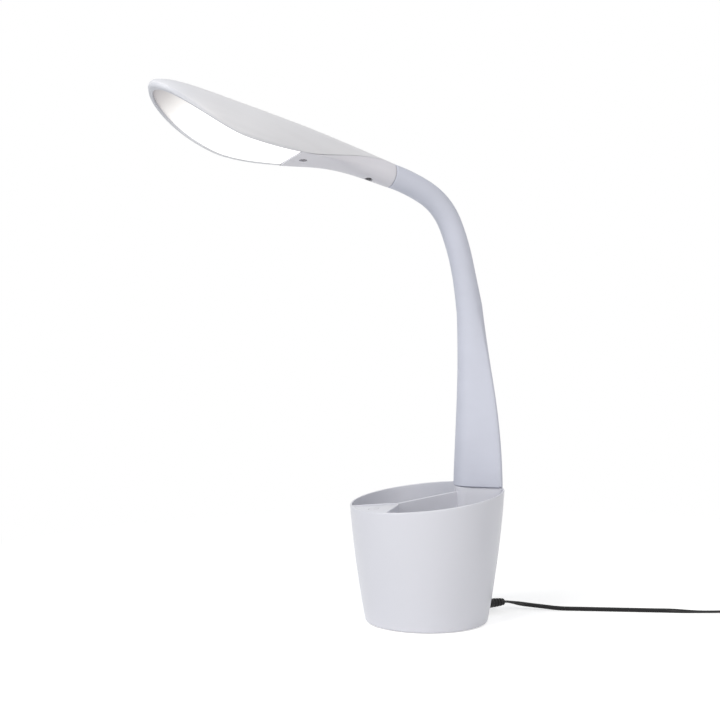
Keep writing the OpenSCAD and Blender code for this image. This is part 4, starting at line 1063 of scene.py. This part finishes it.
def vee_ring(plan, inset, level, back):
    """Ring around a V with a round nose, its sides drawn in by inset. level(y) gives the height of a point,
    back(z) the radius where the V ends."""
    h, r, centre = plan["half"], plan["nose_r"] - inset, plan["nose"] + plan["nose_r"]
    d = np.array([math.sin(h), math.cos(h)])
    t0 = np.array([r * math.cos(h), centre - r * math.sin(h)])
    rho = 70.0
    for _ in range(6):
        t = math.sqrt((t0 @ d) ** 2 - t0 @ t0 + rho ** 2) - t0 @ d
        end = t0 + t * d
        rho = float(back(level(plan["side"] * end[1])))
    flank = t0 + np.outer(np.linspace(1, 0, 16, endpoint=False) * t, d)
    a = np.linspace(-h, h - math.pi, 28)
    bow = np.stack([r * np.cos(a), centre + r * np.sin(a)], axis=1)
    a = np.linspace(math.atan2(end[1], -end[0]), math.atan2(end[1], end[0]), 50)[1:-1]
    rho = 70.0 + 0 * a
    for _ in range(6):
        rho = back(level(plan["side"] * rho * np.sin(a))) + 0 * a
    arc = np.stack([rho * np.cos(a), rho * np.sin(a)], axis=1)
    xy = np.concatenate([flank, bow, flank[::-1] * (-1, 1), arc]) * (1, plan["side"])
    return np.column_stack([xy, level(xy[:, 1]) + 0 * xy[:, 0]])


def divider_ring(inset, level, half_t=1.0):
    """Ring around the divider, which runs from inside the ledge to inside the pillar."""
    y = np.linspace(-LEDGE["nose"] - 4, PILLAR["nose"] + 4, 40)
    x = np.full(40, half_t - inset)
    xy = np.column_stack([np.concatenate([x, -x]), np.concatenate([y, y[::-1]])])
    return np.column_stack([xy, level(xy[:, 1])])


def column(ring, low, top, r, rows=12):
    """Rings of an upright piece from height low to the surface top(y), its upper edge rounded by r."""
    out = [ring(0.0, lambda y: low + 0 * y)]
    for k in range(1, rows + 1):
        out.append(ring(0.0, lambda y: low + (top(y) - r - low) * k / rows))
    for a in quarter():
        out.append(ring(r * (1 - math.cos(a)), lambda y: top(y) - r * (1 - math.sin(a))))
    return out


def deck(y):
    return rim_plane(y, -LEDGE_DROP)


def ledge():
    rings = column(lambda inset, level: vee_ring(LEDGE, inset, level, lambda z: cup_r(z) - WALL / 2),
                   FLOOR_Z - 1, deck, 0.8)
    for out, drop in ((0.25, 0.0), (0.07, 0.07), (0.0, 0.25), (0.0, PANEL_SINK + PANEL_T)):
        rings.append(vee_ring(LEDGE, PANEL_BORDER - out, lambda y: deck(y) - drop, lambda z: SEAT_R + out))
    return ring_stack(rings)


def touch_panel():
    rings = []
    for i, d in ((0, PANEL_T), (0, 0.3), (0.09, 0.09), (0.3, 0)):
        inset = PANEL_GAP + i
        rings.append(vee_ring(LEDGE, PANEL_BORDER + inset,
                              lambda y: rim_plane(y, -LEDGE_DROP - PANEL_SINK) - d, lambda z: SEAT_R - inset))
    return ring_stack(rings)


def divider():
    return ring_stack(column(divider_ring, FLOOR_Z - 1, deck, 0.85))


def pillar():
    return ring_stack(column(lambda inset, level: vee_ring(PILLAR, inset, level, lambda z: cup_r(z) - 1.0),
                             FLOOR_Z - 1, lambda y: PILLAR_TOP + 0 * y, 1.0))


def plinth():
    """Low foot between the pillar and the boot."""
    return ring_stack([ring_at(edge - 3, z, angles, y=BOOT_C) for z in (PILLAR_TOP - 1, BOOT_FOOT)])


def peg(x, y, low, r, hole):
    """Boss under the floor, with a blind screw hole from below."""
    high = CEILING + 0.2
    rows = [(hole, high - 2), (hole, low), (r, low), (r, high)]
    return ring_stack([ring_at(q, z, full_turn(32), x, y) for q, z in rows])


wall = joined("cup_wall", [cup_wall()], cup_mat)
bore = [np.stack([SOCKET_R * np.cos(angles), 0 * angles + y, SOCKET_Z + SOCKET_R * np.sin(angles)], axis=1)
        for y in (50.0, 64.0)]
carve(wall, joined("socket_hole", [ring_stack(bore)], cup_mat), "DIFFERENCE")
PEG_C, PEG_LOW, POST_LOW = 46.5, 3.8, 17.1
pegs = [peg(PEG_C * math.cos(rad(a)), PEG_C * math.sin(rad(a)), PEG_LOW, 4.0, 1.5)
        for a in (45, 135, 225, 315)]
pegs += [peg(s * 19, 8 + s * 11, POST_LOW, 2.6, 1.1) for s in (-1, 1)]
cup = joined("organiser_cup", [ledge(), divider(), pillar(), plinth()] + pegs, cup_mat)
bm = bmesh.new()
bm.from_mesh(cup.data)
bm.from_mesh(wall.data)
bm.to_mesh(cup.data)
bm.free()
bpy.data.objects.remove(wall)
cup.data.set_sharp_from_angle(angle=rad(35))
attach(cup, "base")
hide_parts("cup_body")

face = joined("touch_face", [touch_panel()], touch_mat)
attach(face, "base")
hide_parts("touch_panel")


# ---------------- stage and light
NEAR, FAR, FLOOR_GLOW = 0.30, 0.75, 0.5


def floor_material():
    """White floor that takes the shadow near the lamp and goes over to plain white between NEAR and FAR."""
    a = Mat("floor")
    rays = a.t.nodes.new("ShaderNodeLightPath").outputs
    bounced = a.math("MAXIMUM", rays["Is Glossy Ray"], rays["Is Transmission Ray"])
    seen = a.math("MAXIMUM", rays["Is Camera Ray"], bounced)
    v = a.coords()
    x, y = a.split(v, 0), a.math("SUBTRACT", a.split(v, 1), 0.1)
    reach = a.math("SQRT", a.math("ADD", a.math("MULTIPLY", x, x), a.math("MULTIPLY", y, y)))
    plain = a.math("MULTIPLY", seen, a.span(reach, NEAR, FAR))
    a.set(Base_Color=a.mix(plain, (0.93, 0.93, 0.93, 1), (0, 0, 0, 1)), Roughness=1.0, Specular_IOR_Level=0.0,
          Emission_Color=(1, 1, 1, 1),
          Emission_Strength=a.math("MULTIPLY", seen, a.span(reach, NEAR, FAR, FLOOR_GLOW, 1.0)))
    return a.m


corners = [[x, y, -0.02] for x, y in ((-6000, -6000), (6000, -6000), (6000, 6000), (-6000, 6000))]
floor = mesh_of("floor", corners, [[0, 1, 2, 3]], floor_material(), smooth=False)

world = bpy.data.worlds.new("studio")
scene.world = world
world.use_nodes = True
sky = world.node_tree
sky.nodes.clear()


def sky_node(kind, *inputs):
    """Adds a node to the sky and feeds its inputs, in their order, from sockets or values."""
    n = sky.nodes.new(kind)
    for socket, value in zip(n.inputs, inputs):
        if isinstance(value, bpy.types.NodeSocket):
            sky.links.new(value, socket)
        else:
            socket.default_value = value
    return n


def larger(a, b):
    n = sky_node("ShaderNodeMath", a, b)
    n.operation = "MAXIMUM"
    return n.outputs[0]


# a pale sky lights the lamp, and a white one is what the camera and reflections see
rays = sky_node("ShaderNodeLightPath").outputs
seen = larger(rays["Is Glossy Ray"], larger(rays["Is Camera Ray"], rays["Is Transmission Ray"]))
lighting = sky_node("ShaderNodeBackground", (0.93, 0.96, 1.0, 1), 0.33)
backdrop = sky_node("ShaderNodeBackground", (1, 1, 1, 1), 1.0)
either = sky_node("ShaderNodeMixShader", seen, lighting.outputs[0], backdrop.outputs[0])
sky_node("ShaderNodeOutputWorld", either.outputs[0])


def softbox(name, at, aim, size, watts, colour=(1, 1, 1)):
    d = bpy.data.lights.new(name, "AREA")
    d.shape, d.size, d.size_y, d.energy, d.color = "RECTANGLE", size[0], size[1], watts, colour
    o = bpy.data.objects.new(name, d)
    scene.collection.objects.link(o)
    o.location = at
    o.rotation_mode = "QUATERNION"
    o.rotation_quaternion = (Vector(aim) - Vector(at)).to_track_quat("-Z", "Y")


softbox("key", (0.35, -1.7, 1.5), (0, 0.02, 0.2), (1.3, 1.3), 28, (1, 0.99, 0.97))
softbox("fill", (1.8, -0.1, 1.3), (0, 0.02, 0.2), (1.2, 1.2), 14.5, (1, 0.96, 0.9))
softbox("top", (-0.3, 0.2, 2.0), (0, 0, 0.2), (1.5, 1.5), 1, (0.85, 0.92, 1))
